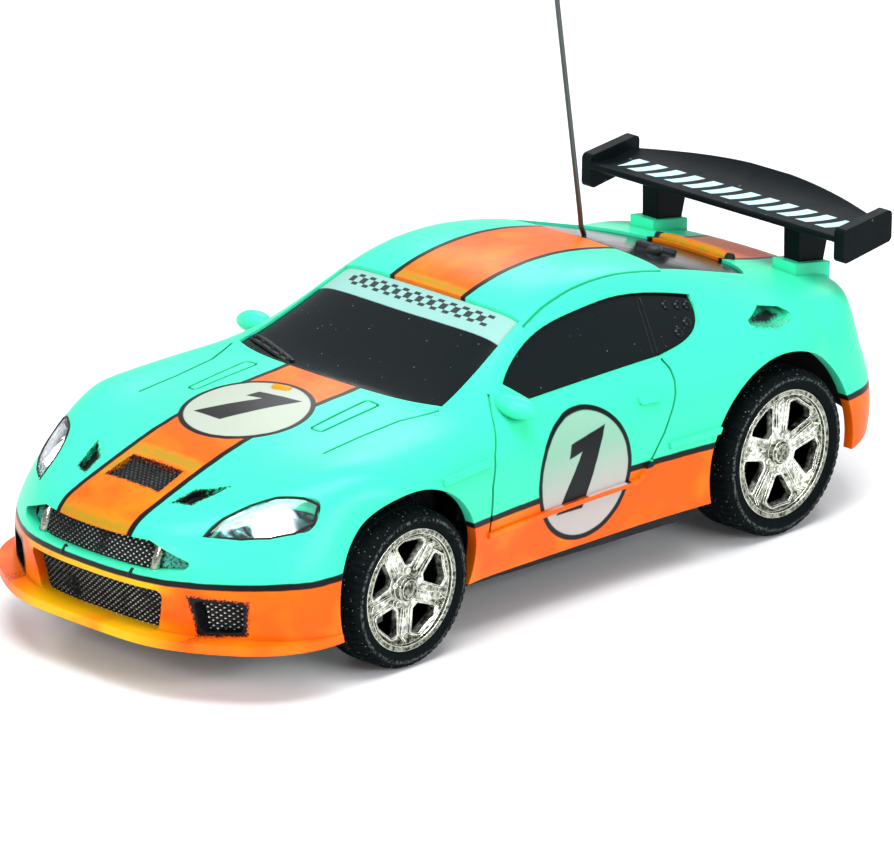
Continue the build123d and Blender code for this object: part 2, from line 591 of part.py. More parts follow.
# ---------------------------------------------------------------- steering
TIE_ROD_Z = (8.0, 8.8)


def knuckle():
    """Left steering knuckle: upright kingpin, hub block and forward arm."""
    x = FRONT_AXLE_X
    pin_at = (x + ARM_X, KINGPIN_Y + ARM_Y)
    hub = block((x - 1.3, x + 1.3), (KINGPIN_Y - 1.1, KINGPIN_Y + 1.1), (FLOOR_TOP + 0.1, 7.8))
    kingpin = rod(KINGPIN_R, (x, KINGPIN_Y, FLOOR_Z + 0.1), (x, KINGPIN_Y, 9.7))
    arm = plan_prism(line_face([(x, KINGPIN_Y - 0.2), pin_at], 1.5), 7.0, 7.8)
    arm += rod(0.75, (*pin_at, 7.0), (*pin_at, 7.8))
    drag_pin = rod(0.45, (*pin_at, 7.0), (*pin_at, 8.9))
    stub_bore = rod(STUB_R, (x, KINGPIN_Y - 0.9, FRONT_TYRE_R), (x, 13, FRONT_TYRE_R))
    return hub + kingpin + arm + drag_pin - stub_bore


def stub_axle():
    return rod(STUB_R, (FRONT_AXLE_X, KINGPIN_Y - 0.9, FRONT_TYRE_R), (FRONT_AXLE_X, 14.6, FRONT_TYRE_R))


def tie_rod():
    """Cross bar that swings both knuckles; the end slots leave room for the arc of the arms."""
    x = FRONT_AXLE_X + ARM_X
    bar = block((x - 0.9, x + 0.9), (-10.45, 10.45), TIE_ROD_Z)
    clip = block((x - 1.5, x + 1.5), (-2.1, 2.1), TIE_ROD_Z)
    slot_y = KINGPIN_Y + ARM_Y
    slot = block((x - 0.95, x + 0.65), (slot_y - 0.62, slot_y + 0.62), (7, 10))
    bar -= both(slot)
    end = block((x - 1.3, x + 1.0), (slot_y - 1.0, slot_y + 1.0), TIE_ROD_Z)
    for piece in both(end - slot):
        bar += piece
    return bar + clip


def steering_magnet():
    x = FRONT_AXLE_X + ARM_X
    return rod(1.6, (x - 1.2, 0, TIE_ROD_Z[0] - 1.6), (x + 1.2, 0, TIE_ROD_Z[0] - 1.6))


COIL_X = (26.0, 29.4)
COIL_Z = 6.55


def coil_bobbin():
    core = rod(0.9, (COIL_X[0], 0, COIL_Z), (COIL_X[1], 0, COIL_Z))
    front = rod(2.2, (COIL_X[1] - 0.4, 0, COIL_Z), (COIL_X[1], 0, COIL_Z))
    back = rod(2.2, (COIL_X[0], 0, COIL_Z), (COIL_X[0] + 0.4, 0, COIL_Z))
    return core + front + back


def coil_winding():
    ends = (COIL_X[0] + 0.4, COIL_X[1] - 0.4)
    return rod(2.05, (ends[0], 0, COIL_Z), (ends[1], 0, COIL_Z)) - rod(0.9, (20, 0, COIL_Z), (32, 0, COIL_Z))


LEG_SPOTS = [(14.9, 5.3), (29.9, 6.4)]
COVER_Z = (9.0, 9.8)


def front_cover():
    """Plate that holds the tops of the kingpins."""
    half = [(13.4, 6.8), (16.9, 7.2), (17.7, 11.1), (20.8, 11.1), (21.5, 7.4), (26.5, 7.8), (30.6, 7.8)]
    plate = plan_prism(outline(half + [(x, -y) for x, y in reversed(half)], 0.5), *COVER_Z)
    plate -= block((24.2, 29.6), (-2.6, 2.6), (8, 11))
    for y in (KINGPIN_Y, -KINGPIN_Y):
        plate -= rod(KINGPIN_R + RUNNING, (FRONT_AXLE_X, y, 8), (FRONT_AXLE_X, y, 11))
    for x, y in LEG_SPOTS:
        plate -= both(rod(0.55, (x, y, 8), (x, y, 11)))
    return plate


def trim_lever():
    """Underside lever that sets the straight-ahead position."""
    arm = plan_prism(outline([(24.6, -1.0), (24.6, 1.0), (30.2, 1.5), (30.2, -1.5)], 0.4), 3.3, 3.75)
    tab = block((29.2, 30.0), (-0.8, 0.8), (2.75, 3.5))
    return arm + tab - rod(0.5 + RUNNING, (25.6, 0, 2), (25.6, 0, 5))


# ---------------------------------------------------------------- chassis
BOARD_POSTS = [(-6.4, 8.0), (9.2, 8.0)]
BODY_SCREWS = [(32.3, 0), (-30.5, 0)]
SOCKET_AT = (3.0, -9.6)
SWITCH_AT = (0.5, 9.9)
COVER_SCREWS = [(-28.6, 5.6), (-28.6, -5.6)]
BUSH_R = 1.3
EAR_Y = (8.6, 9.9)


def gear_shaft_spot():
    reach = MODULE * (SMALL_TEETH + AXLE_TEETH) / 2
    angle = np.radians(GEAR_RISE)
    return REAR_AXLE_X + reach * np.cos(angle), REAR_TYRE_R + reach * np.sin(angle)


def motor_spot():
    x, z = gear_shaft_spot()
    reach = MODULE * (BIG_TEETH + PINION_TEETH) / 2
    angle = np.radians(MOTOR_DROP)
    return x + reach * np.cos(angle), z + reach * np.sin(angle)


def chassis_floor():
    half = [(34.6, 4.5), (33.2, 7.6), (30.0, 8.6), (26.8, 8.2), (25.4, 7.2), (21.0, 7.2), (20.8, 11.1),
            (17.7, 11.1), (17.5, 7.2), (12.6, 7.2), (10.4, 9.0), (10.3, 12.7), (-12.4, 14.2),
            (-13.2, 10.3), (-31.0, 10.3), (-34.0, 8.6), (-35.4, 5.0)]
    floor = plan_prism(outline(half + [(x, -y) for x, y in reversed(half)], 0.35), FLOOR_Z, FLOOR_TOP)
    return floor


def chassis_walls():
    """Tub sides, axle ears, cover legs and board posts."""
    wall = plan_prism(outline([(9.6, 12.3), (-12.0, 13.7), (-12.0, 12.8), (9.6, 11.4)]), FLOOR_TOP, 9.0)
    front_wall = block((9.7, 10.3), (7.4, 12.2), (FLOOR_TOP, 8.0))
    ear = block((REAR_AXLE_X - 2.4, REAR_AXLE_X + 2.4), EAR_Y, (FLOOR_TOP, 9.7))
    ear -= block((REAR_AXLE_X - BUSH_R, REAR_AXLE_X + BUSH_R), EAR_Y, (REAR_TYRE_R, 12))
    ear -= rod(BUSH_R, (REAR_AXLE_X, 8, REAR_TYRE_R), (REAR_AXLE_X, 11, REAR_TYRE_R))
    pieces = both(wall) + both(front_wall) + both(ear)
    for x, y in LEG_SPOTS:
        pieces += both(rod(1.1, (x, y, FLOOR_TOP), (x, y, COVER_Z[0])))
    for x, y in BOARD_POSTS:
        pieces += both(rod(0.9, (x, y, FLOOR_TOP), (x, y, 10.6)) + rod(0.45, (x, y, 10.6), (x, y, 11.8)))
    shaft_x, shaft_z = gear_shaft_spot()
    for y_span in ((2.7, 3.35), EAR_Y):
        pieces.append(block((shaft_x - 1.9, shaft_x + 0.9), y_span, (FLOOR_TOP, shaft_z + 1.0)))
    motor_x = motor_spot()[0]
    for x in (motor_x - 4.5, motor_x + 4.05):
        pieces.append(block((x, x + 0.45), (-8.2, 1.5), (FLOOR_TOP, 6.4)))
    battery_stop = block((-6.9, -6.2), (-5.5, 5.5), (FLOOR_TOP, 6.5))
    return pieces + [battery_stop]


def diffuser():
    """Fins under the tail."""
    fins = [block((-35.0, -31.5), (y - 0.25, y + 0.25), (FLOOR_Z, 5.6)) for y in (-6, -3, 3, 6)]
    return fins


def chassis():
    base = chassis_floor()
    base += chassis_walls()
    base += diffuser()
    shaft_x, shaft_z = gear_shaft_spot()
    base -= rod(GEAR_SHAFT_R, (shaft_x, 2, shaft_z), (shaft_x, 9.4, shaft_z))
    base -= block((REAR_AXLE_X - 3.4, REAR_AXLE_X + 3.2), (5.0, 8.3), (3, 4.3))
    for y in (KINGPIN_Y, -KINGPIN_Y):
        base -= rod(KINGPIN_R + RUNNING, (FRONT_AXLE_X, y, 3), (FRONT_AXLE_X, y, 5))
    for x, y in LEG_SPOTS:
        base -= both(rod(0.45, (x, y, 6), (x, y, 10)))
    for x, y in BODY_SCREWS:
        base -= rod(1.3, (x, y, 3), (x, y, FLOOR_Z + 0.55))
        base -= rod(0.62, (x, y, 3), (x, y, 5))
    for x, y in COVER_SCREWS:
        base -= rod(0.45, (x, y, 3), (x, y, 5))
    base -= rod(1.6, (*SOCKET_AT, 3), (*SOCKET_AT, 5))
    base -= block((SWITCH_AT[0] - 2.1, SWITCH_AT[0] + 1.3), (SWITCH_AT[1] - 0.8, SWITCH_AT[1] + 0.8), (3, 5))
    recess = plan_prism(outline([(24.2, -1.6), (24.2, 1.6), (30.7, 3.1), (30.7, -3.1)], 0.3), 3, 3.8)
    base -= recess
    base += rod(0.5, (25.6, 0, 3.3), (25.6, 0, FLOOR_TOP))
    return base


LID_Z = (12.0, 12.8)


def gearbox_cover():
    """Lid over the motor and gears; two tongues hold the axle bushes down."""
    lid = block((-27.2, -7.9), (-10.3, 10.3), LID_Z)
    lid += block((-8.6, -7.9), (-8.2, 8.2), (4.3, LID_Z[0]))
    lid += block((-27.2, -26.4), (-8.4, 8.4), (4.3, LID_Z[0]))
    for piece in both(block((-27.2, -7.9), (9.5, 10.3), (9.9, LID_Z[0]))):
        lid += piece
    tongue = block((REAR_AXLE_X - 1.2, REAR_AXLE_X + 1.2), (8.7, 9.8), (REAR_TYRE_R + BUSH_R + FIT, LID_Z[0]))
    for piece in both(tongue):
        lid += piece
    for x, y in COVER_SCREWS:
        lid += block((x - 1.1, -26.4), (y - 1.1, y + 1.1), (4.25, 5.05))
        lid -= rod(0.5, (x, y, 4), (x, y, 6))
    return lid


# ---------------------------------------------------------------- drive
def drive_motor():
    x, z = motor_spot()
    can = rod(3.95, (x, -9.4, z), (x, 2.4, z)) & block((x - 5, x + 5), (-10, 3), (z - 3.2, z + 3.2))
    nose = rod(1.0, (x, 2.4, z), (x, 2.9, z))
    tail = rod(1.4, (x, -9.9, z), (x, -9.4, z))
    return can + nose + tail


def motor_pinion():
    """Brass pinion with the steel shaft it is pressed on."""
    x, z = motor_spot()
    gap = MOTOR_DROP + 180 - 180 / PINION_TEETH
    return spur_gear(PINION_TEETH, 0.3, x, z, 3.4, 5.0, gap) + rod(0.3, (x, 3.0, z), (x, 5.2, z))


def reduction_gear():
    x, z = gear_shaft_spot()
    bore = GEAR_SHAFT_R + RUNNING
    gap = GEAR_RISE + 180 - 180 / SMALL_TEETH
    big = spur_gear(BIG_TEETH, bore, x, z, 3.5, 4.9, MOTOR_DROP)
    return big + spur_gear(SMALL_TEETH, bore, x, z, 4.9, 8.2, gap)


def axle_gear():
    return spur_gear(AXLE_TEETH, AXLE_R, REAR_AXLE_X, REAR_TYRE_R, 5.5, 7.7, GEAR_RISE)


def gear_shaft():
    x, z = gear_shaft_spot()
    return rod(GEAR_SHAFT_R, (x, 2.7, z), (x, 9.3, z))


def rear_axle():
    return rod(AXLE_R, (REAR_AXLE_X, -14.8, REAR_TYRE_R), (REAR_AXLE_X, 14.8, REAR_TYRE_R))


def axle_bush():
    x, z = REAR_AXLE_X, REAR_TYRE_R
    bush = rod(BUSH_R, (x, EAR_Y[0], z), (x, EAR_Y[1], z)) + rod(1.6, (x, EAR_Y[1], z), (x, 10.3, z))
    return bush - rod(AXLE_R + RUNNING, (x, 5, z), (x, 12, z))


# ---------------------------------------------------------------- electrics
BATTERY = ((-6.0, 8.6), (-6.2, 6.2), (4.3, 9.6))
BOARD = ((-7.6, 10.6), (-9.0, 9.0), (10.6, 11.4))


def battery():
    cell = block(*BATTERY)
    return fillet(cell.edges().filter_by(Axis.X), 1.6)


def receiver_board():
    board = block(*BOARD)
    for x, y in BOARD_POSTS:
        board -= both(rod(0.5, (x, y, 10), (x, y, 12)))
    return board


def control_chip():
    return block((-2.5, 3.5), (-2.0, 2.0), (11.42, 12.6))


def radio_crystal():
    can = plan_prism(SlotOverall(7.6, 3.2), BOARD[2][1] + 0.02, 14.0)
    return Pos(-0.6, 5.6, 0) * can


def capacitor():
    x, y, z = 7.2, -5.2, BOARD[2][1] + 0.02
    return rod(1.9, (x, y, z), (x, y, 15.2))


def tuning_coil():
    x, y, z = -4.6, -5.6, BOARD[2][1] + 0.02
    return block((x - 1.8, x + 1.8), (y - 1.8, y + 1.8), (z, 14.2)) - rod(0.9, (x, y, 13.4), (x, y, 15))


def switch_housing():
    x, y = SWITCH_AT
    shell = block((x - 3.4, x + 3.4), (y - 1.7, y + 1.7), (4.24, 7.6))
    return shell - block((x - 2.2, x + 1.4), (y - 1.0, y + 1.0), (4.0, 6.2))


def power_switch():
    """Slide knob; it travels towards the rear to switch off."""
    x, y = SWITCH_AT
    knob = block((x - 0.4, x + 1.2), (y - 0.7, y + 0.7), (2.6, 4.6))
    foot = block((x - 0.5, x + 1.3), (y - 0.9, y + 0.9), (4.3, 5.9))
    return knob + foot


def charging_socket():
    collar = rod(1.55, (*SOCKET_AT, FLOOR_Z + 0.05), (*SOCKET_AT, 4.3))
    barrel = rod(2.2, (*SOCKET_AT, 4.24), (*SOCKET_AT, 8.6))
    return collar + barrel - rod(0.9, (*SOCKET_AT, 2), (*SOCKET_AT, 7.6))


def antenna_wire():
    x = ANTENNA_X
    path = Polyline((x, 0, LID_Z[1] + 0.5), (x, 0, 22.2), (x + 0.35, 0, 22.9), (x + 0.5, 0, 24.0), ANTENNA_TIP)
    section = Plane(origin=(x, 0, LID_Z[1] + 0.5)) * Circle(ANTENNA_R)
    return sweep(section, path=path, transition=Transition.ROUND)


def antenna_holder():
    tube = rod(0.9, (ANTENNA_X, 0, LID_Z[1] + FIT), (ANTENNA_X, 0, 19.6))
    return tube - rod(0.3, (ANTENNA_X, 0, LID_Z[1] + 0.4), (ANTENNA_X, 0, 22))


def battery_leads():
    plus = wire_lead([(8.62, 2.0, 8.4), (9.7, 2.2, 9.2), (9.9, 2.4, 10.55)])
    minus = wire_lead([(8.62, -2.0, 8.4), (9.7, -2.2, 9.2), (9.9, -2.4, 10.55)])
    return [plus, minus]


def motor_leads():
    x, z = motor_spot()
    leads = []
    for side in (-1, 1):
        start = (x + 2.2 * side, -9.45, z)
        leads.append(wire_lead([start, (x + 2.2 * side + 0.3, -10.3, z + 0.2), (-8.0, -10.5, 8.0 + side * 0.9),
                                (-4.0, -10.6 - side * 0.4, 9.4 + side * 0.5), (-2.5 + side * 0.8, -9.4, 11.0)]))
    return leads


def led_leads():
    leads = []
    for gap in (-0.45, 0.45):
        tail = Vector(*LED_TAIL) + Vector(-0.05 + gap * 0.5, -0.04 - gap * 0.8, -0.08)
        leads.append(wire_lead([tail, (26.6, 8.2 - gap, 10.7), (20.0, 6.6 - gap, 11.0),
                                (10.7, 5.6 - gap, 11.0)], 0.2))
    return leads


# ---------------------------------------------------------------- fasteners
def screw(x, y, head_z, point_z, head_r=1.15, shank_r=0.55):
    """Cross-head screw along Z; its head lies between head_z and the shank."""
    direction = 1 if point_z > head_z else -1
    under = head_z + 0.5 * direction
    body = rod(head_r, (x, y, head_z), (x, y, under)) + rod(shank_r, (x, y, under), (x, y, point_z))
    slot = block((x - 0.7, x + 0.7), (y - 0.13, y + 0.13), (head_z - 0.22, head_z + 0.22))
    cross = block((x - 0.13, x + 0.13), (y - 0.7, y + 0.7), (head_z - 0.22, head_z + 0.22))
    return body - slot - cross


def body_screws():
    return [screw(x, y, FLOOR_Z + 0.02, 8.0) for x, y in BODY_SCREWS]


def front_cover_screws():
    spots = [(x, side * y) for x, y in LEG_SPOTS for side in (1, -1)]
    return [screw(x, y, COVER_Z[1] + 0.5, 6.4, 1.0, 0.45) for x, y in spots]


def gearbox_screws():
    return [screw(x, y, 5.57, 3.4, 0.95, 0.45) for x, y in COVER_SCREWS]


# ---------------------------------------------------------------- assembly
def place_wheel(part, front):
    x, z = (FRONT_AXLE_X, FRONT_TYRE_R) if front else (REAR_AXLE_X, REAR_TYRE_R)
    return Pos(x, 0, z) * part


def save(name, shapes):
    """Write one node; several solids are kept as a group."""
    shapes = shapes if isinstance(shapes, (list, tuple)) else [shapes]
    solids = [solid for shape in shapes for solid in shape.solids()]
    export_step(Compound(children=solids) if len(solids) > 1 else solids[0], f"parts/{name}.step")


def save_pair(name, left):
    """Write a left part and its mirror image."""
    save(f"{name}_left", left)
    save(f"{name}_right", mirror(left, about=Plane.XZ))


os.makedirs("parts", exist_ok=True)

save("body_shell", body_shell())
save("window_insert", window_insert())
save("lower_grille", lower_grille())
save("upper_grille", upper_grille())
save("rear_wing", rear_wing())
save_pair("headlight_lens", headlight_lens())
save_pair("headlight_reflector", headlight_reflector())
save_pair("headlight_led", headlight_led())
save_pair("tail_lamp", tail_lamp())

save("chassis", chassis())
save("front_cover", front_cover())
save("gearbox_cover", gearbox_cover())

save_pair("steering_knuckle", knuckle())
save_pair("stub_axle", stub_axle())
save("tie_rod", tie_rod())
save("steering_magnet", steering_magnet())
save("coil_bobbin", coil_bobbin())
save("coil_winding", coil_winding())
save("trim_lever", trim_lever())

FRONT_RIM = rim(FRONT_RIM_R, FRONT_WHEEL_Y, STUB_R + RUNNING, 14.7, phase=-13)
REAR_RIM = rim(REAR_RIM_R, REAR_WHEEL_Y, AXLE_R, 14.8, phase=18)
save_pair("front_rim", place_wheel(FRONT_RIM, front=True))
save_pair("front_tyre", place_wheel(tyre(FRONT_TYRE_R, FRONT_RIM_R, FRONT_WHEEL_Y), front=True))
save_pair("rear_rim", place_wheel(REAR_RIM, front=False))
save_pair("rear_tyre", place_wheel(tyre(REAR_TYRE_R, REAR_RIM_R, REAR_WHEEL_Y), front=False))

save("drive_motor", drive_motor())
save("motor_pinion", motor_pinion())
save("reduction_gear", reduction_gear())
save("gear_shaft", gear_shaft())
save("axle_gear", axle_gear())
save("rear_axle", rear_axle())
save("axle_bushes", both(axle_bush()))

save("battery", battery())
save("receiver_board", receiver_board())
save("control_chip", control_chip())
save("radio_crystal", radio_crystal())
save("capacitor", capacitor())
save("tuning_coil", tuning_coil())
save("switch_housing", switch_housing())
save("power_switch", power_switch())
save("charging_socket", charging_socket())
save("antenna_wire", antenna_wire())
save("antenna_holder", antenna_holder())
save("battery_leads", battery_leads())
save("motor_leads", motor_leads())
save("led_leads", [mirror(lead, about=Plane.XZ) for lead in led_leads()] + led_leads())

save("body_screws", body_screws())
save("front_cover_screws", front_cover_screws())
save("gearbox_screws", gearbox_screws())
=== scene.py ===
import json
import math

import bmesh
import bpy
from mathutils import Matrix, Vector
from mathutils.bvhtree import BVHTree


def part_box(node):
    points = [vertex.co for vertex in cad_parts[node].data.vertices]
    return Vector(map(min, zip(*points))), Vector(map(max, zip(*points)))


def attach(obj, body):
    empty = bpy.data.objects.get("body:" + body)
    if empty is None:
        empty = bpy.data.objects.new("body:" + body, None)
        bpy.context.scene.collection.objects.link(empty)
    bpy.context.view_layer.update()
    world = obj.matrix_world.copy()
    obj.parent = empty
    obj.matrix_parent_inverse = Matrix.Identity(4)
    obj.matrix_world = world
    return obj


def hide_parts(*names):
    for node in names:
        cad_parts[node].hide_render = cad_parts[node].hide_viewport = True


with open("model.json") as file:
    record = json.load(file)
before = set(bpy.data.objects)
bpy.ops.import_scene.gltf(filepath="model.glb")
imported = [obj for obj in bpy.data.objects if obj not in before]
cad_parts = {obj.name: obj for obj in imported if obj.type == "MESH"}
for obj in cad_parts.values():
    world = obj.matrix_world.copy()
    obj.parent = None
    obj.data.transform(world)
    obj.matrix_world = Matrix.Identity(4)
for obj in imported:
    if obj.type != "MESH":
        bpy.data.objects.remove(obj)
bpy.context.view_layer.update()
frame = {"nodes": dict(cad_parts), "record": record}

# Looks of the pocket remote control car. Lengths are written in millimetres, in the
# car's own frame: +X forward, +Y the car's left, +Z up, ground at Z = 0.
MM = 0.001
NODES = frame["nodes"]


def centre_of(node):
    low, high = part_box(node)
    return (low + high) / 2 / MM


def size_of(node):
    low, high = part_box(node)
    return (high - low) / MM


FRONT_WHEEL = centre_of("front_tyre_left")
REAR_WHEEL = centre_of("rear_tyre_left")
FRONT_TYRE_R = size_of("front_tyre_left").z / 2
REAR_TYRE_R = size_of("rear_tyre_left").z / 2
FRONT_RIM_R = size_of("front_rim_left").z / 2
REAR_RIM_R = size_of("rear_rim_left").z / 2

# ---------------------------------------------------------------- livery sizes
TURQUOISE = (0.040, 0.70, 0.39)
ORANGE = (0.80, 0.095, 0.001)
YELLOW = (0.78, 0.42, 0.002)
OLIVE = (0.26, 0.22, 0.01)
INK = (0.003, 0.004, 0.005)
DISC_WHITE = (0.36, 0.41, 0.34)
DISC_GREEN = (0.22, 0.44, 0.32)
DISC_PINK = (0.44, 0.39, 0.37)

STRIPE_HALF = 3.5
EDGE_WIDTH = 0.5
PIN_Z = 9.45
PIN_DROP = 0.6                    # the pinstripe sinks by this much round the nose
DOOR_DISC = (-0.3, 10.3)          # X and Z of the centre
HOOD_DISC_X = 20.7
DISC_R = 5.2
DISC_RING = 0.42
LAMP_AT = (29.5, 11.8)            # X and Y of the left lamp
BANNER_FRONT_X = 4.0
BANNER_BOW = 0.008                # how much the banner's lower edge curves back at its ends
BANNER_HALF = 9.6
CHEQUER = 0.62

# grille weave: wires this far apart, crossing at a slant
WEAVE = 0.42
WEAVE_RISE = 1.2
WEAVE_SPREAD = 0.8


# ---------------------------------------------------------------- node trees
class Value:
    """A number inside a node tree; ordinary sums on it add Math nodes."""

    def __init__(self, graph, socket):
        self.graph = graph
        self.socket = socket

    def __add__(self, other):
        return self.graph.sum("ADD", self, other)

    __radd__ = __add__

    def __sub__(self, other):
        return self.graph.sum("SUBTRACT", self, other)

    def __rsub__(self, other):
        return self.graph.sum("SUBTRACT", other, self)

    def __mul__(self, other):
        return self.graph.sum("MULTIPLY", self, other)

    __rmul__ = __mul__

    def __truediv__(self, other):
        return self.graph.sum("DIVIDE", self, other)

    def __neg__(self):
        return self * -1

    def __abs__(self):
        return self.graph.sum("ABSOLUTE", self)

    def __and__(self, other):
        return self.graph.sum("MINIMUM", self, other)

    def __or__(self, other):
        return self.graph.sum("MAXIMUM", self, other)


class Graph:
    """Short way to write one material's node tree."""

    def __init__(self, name):
        self.material = bpy.data.materials.new(name)
        self.material.use_nodes = True
        self.tree = self.material.node_tree
        self.tree.nodes.clear()

    def feed(self, socket, value):
        if isinstance(value, Value):
            value = value.socket
        if isinstance(value, bpy.types.NodeSocket):
            self.tree.links.new(value, socket)
        elif isinstance(value, tuple) and len(value) == 3 and socket.type == "RGBA":
            socket.default_value = (*value, 1.0)
        else:
            socket.default_value = value

    def node(self, kind, inputs, **settings):
        node = self.tree.nodes.new("ShaderNode" + kind)
        for key, value in settings.items():
            setattr(node, key, value)
        for key, value in inputs.items():
            self.feed(node.inputs[key], value)
        return node

    def sum(self, operation, *values):
        node = self.node("Math", dict(enumerate(values)), operation=operation)
        return Value(self, node.outputs[0])

    def mask(self, distance, soft=0.05):
        """1 where the signed distance is above zero, 0 below, with a soft edge."""
        node = self.node("MapRange", {0: distance, 1: -soft, 2: soft, 3: 0.0, 4: 1.0}, clamp=True)
        return Value(self, node.outputs[0])

    def ramp(self, value, low, high, to_low=0.0, to_high=1.0):
        node = self.node("MapRange", {0: value, 1: low, 2: high, 3: to_low, 4: to_high}, clamp=True)
        return Value(self, node.outputs[0])

    def blend(self, factor, first, second, way="MIX"):
        node = self.node("Mix", {0: factor, 6: first, 7: second}, data_type="RGBA", blend_type=way)
        return node.outputs[2]

    def place(self):
        """Position in the car's frame, in millimetres, as a vector socket."""
        here = self.node("TexCoord", {}).outputs["Object"]
        return self.node("VectorMath", {0: here, 3: 1 / MM}, operation="SCALE").outputs[0]

    def split(self, vector):
        parts = self.node("SeparateXYZ", {0: vector})
        return [Value(self, socket) for socket in parts.outputs]

    def noise(self, place, size, detail=2.0, rough=0.5):
        """Noise with features about size millimetres across, from 0 to 1."""
        settings = {"Vector": place, "Scale": 1 / size, "Detail": detail, "Roughness": rough}
        return Value(self, self.node("TexNoise", settings).outputs["Fac"])

    def specks(self, place, size, share):
        """Small round dots, one per cell, present in the given share of the cells."""
        cells = self.node("TexVoronoi", {"Vector": place, "Scale": 1 / size})
        keep = self.mask(share - self.split(cells.outputs["Color"])[0], 0.01)
        return keep * self.mask(0.16 - Value(self, cells.outputs["Distance"]), 0.04)

    def weave(self, value):
        """Distance from the nearest wire of a mesh with wires WEAVE millimetres apart."""
        return self.sum("MODULO", value + WEAVE * 200.5, WEAVE) - WEAVE / 2

    def crevice(self, reach):
        """0 in the open, rising to 1 in grooves and corners narrower than reach millimetres."""
        open_sky = self.node("AmbientOcclusion", {"Distance": reach * MM}, samples=6, only_local=True)
        return 1 - Value(self, open_sky.outputs["AO"])

    def bump(self, height, depth, normal=None):
        """Normal from a height between 0 and 1 that stands for depth millimetres."""
        inputs = {"Height": height, "Strength": 1.0, "Distance": depth * MM}
        if normal is not None:
            inputs["Normal"] = normal
        return self.node("Bump", inputs).outputs[0]

    def soft_edges(self, radius):
        return self.node("Bevel", {"Radius": radius * MM}, samples=4).outputs[0]

    def edges(self, radius):
        """1 along sharp edges, 0 on flats."""
        true = self.node("NewGeometry", {}).outputs["Normal"]
        soft = self.soft_edges(radius)
        product = self.node("VectorMath", {0: true, 1: soft}, operation="DOT_PRODUCT")
        return self.ramp(1 - Value(self, product.outputs["Value"]), 0.002, 0.05)

    def close(self, **inputs):
        """Finish with a Principled surface; underscores in names stand for spaces."""
        named = {key.replace("_", " "): value for key, value in inputs.items()}
        shader = self.node("BsdfPrincipled", named)
        output = self.node("OutputMaterial", {})
        self.tree.links.new(shader.outputs[0], output.inputs[0])
        return self.material


# ---------------------------------------------------------------- livery
def convex(g, across, up, corners):
    """Signed distance inside a convex outline whose corners run clockwise."""
    inside = None
    for (a0, b0), (a1, b1) in zip(corners, corners[1:] + corners[:1]):
        length = math.hypot(a1 - a0, b1 - b0)
        side = across * ((b1 - b0) / length) + up * ((a0 - a1) / length)
        distance = side - (a0 * (b1 - b0) - b0 * (a1 - a0)) / length
        inside = distance if inside is None else inside & distance
    return inside


def numeral_one(g, across, up):
    """Slanted bold figure: one broad stem and a flag."""
    stem = convex(g, across, up, [(0.58, 2.94), (2.6, 3.3), (-0.2, -2.7), (-3.1, -2.6)])
    flag = convex(g, across, up, [(-1.3, 2.6), (1.2, 3.05), (0.4, 1.9), (-1.6, 1.5)])
    return stem | flag


def roundel(g, colour, across, up, where, face):
    """Ringed disc with its figure, painted over colour."""
    radius = g.sum("SQRT", across * across + up * up)
    colour = g.blend(g.mask(DISC_R - radius) * where, colour, INK)
    colour = g.blend(g.mask(DISC_R - DISC_RING - radius) * where, colour, face)
    return g.blend(g.mask(numeral_one(g, across, up)) * where, colour, INK)


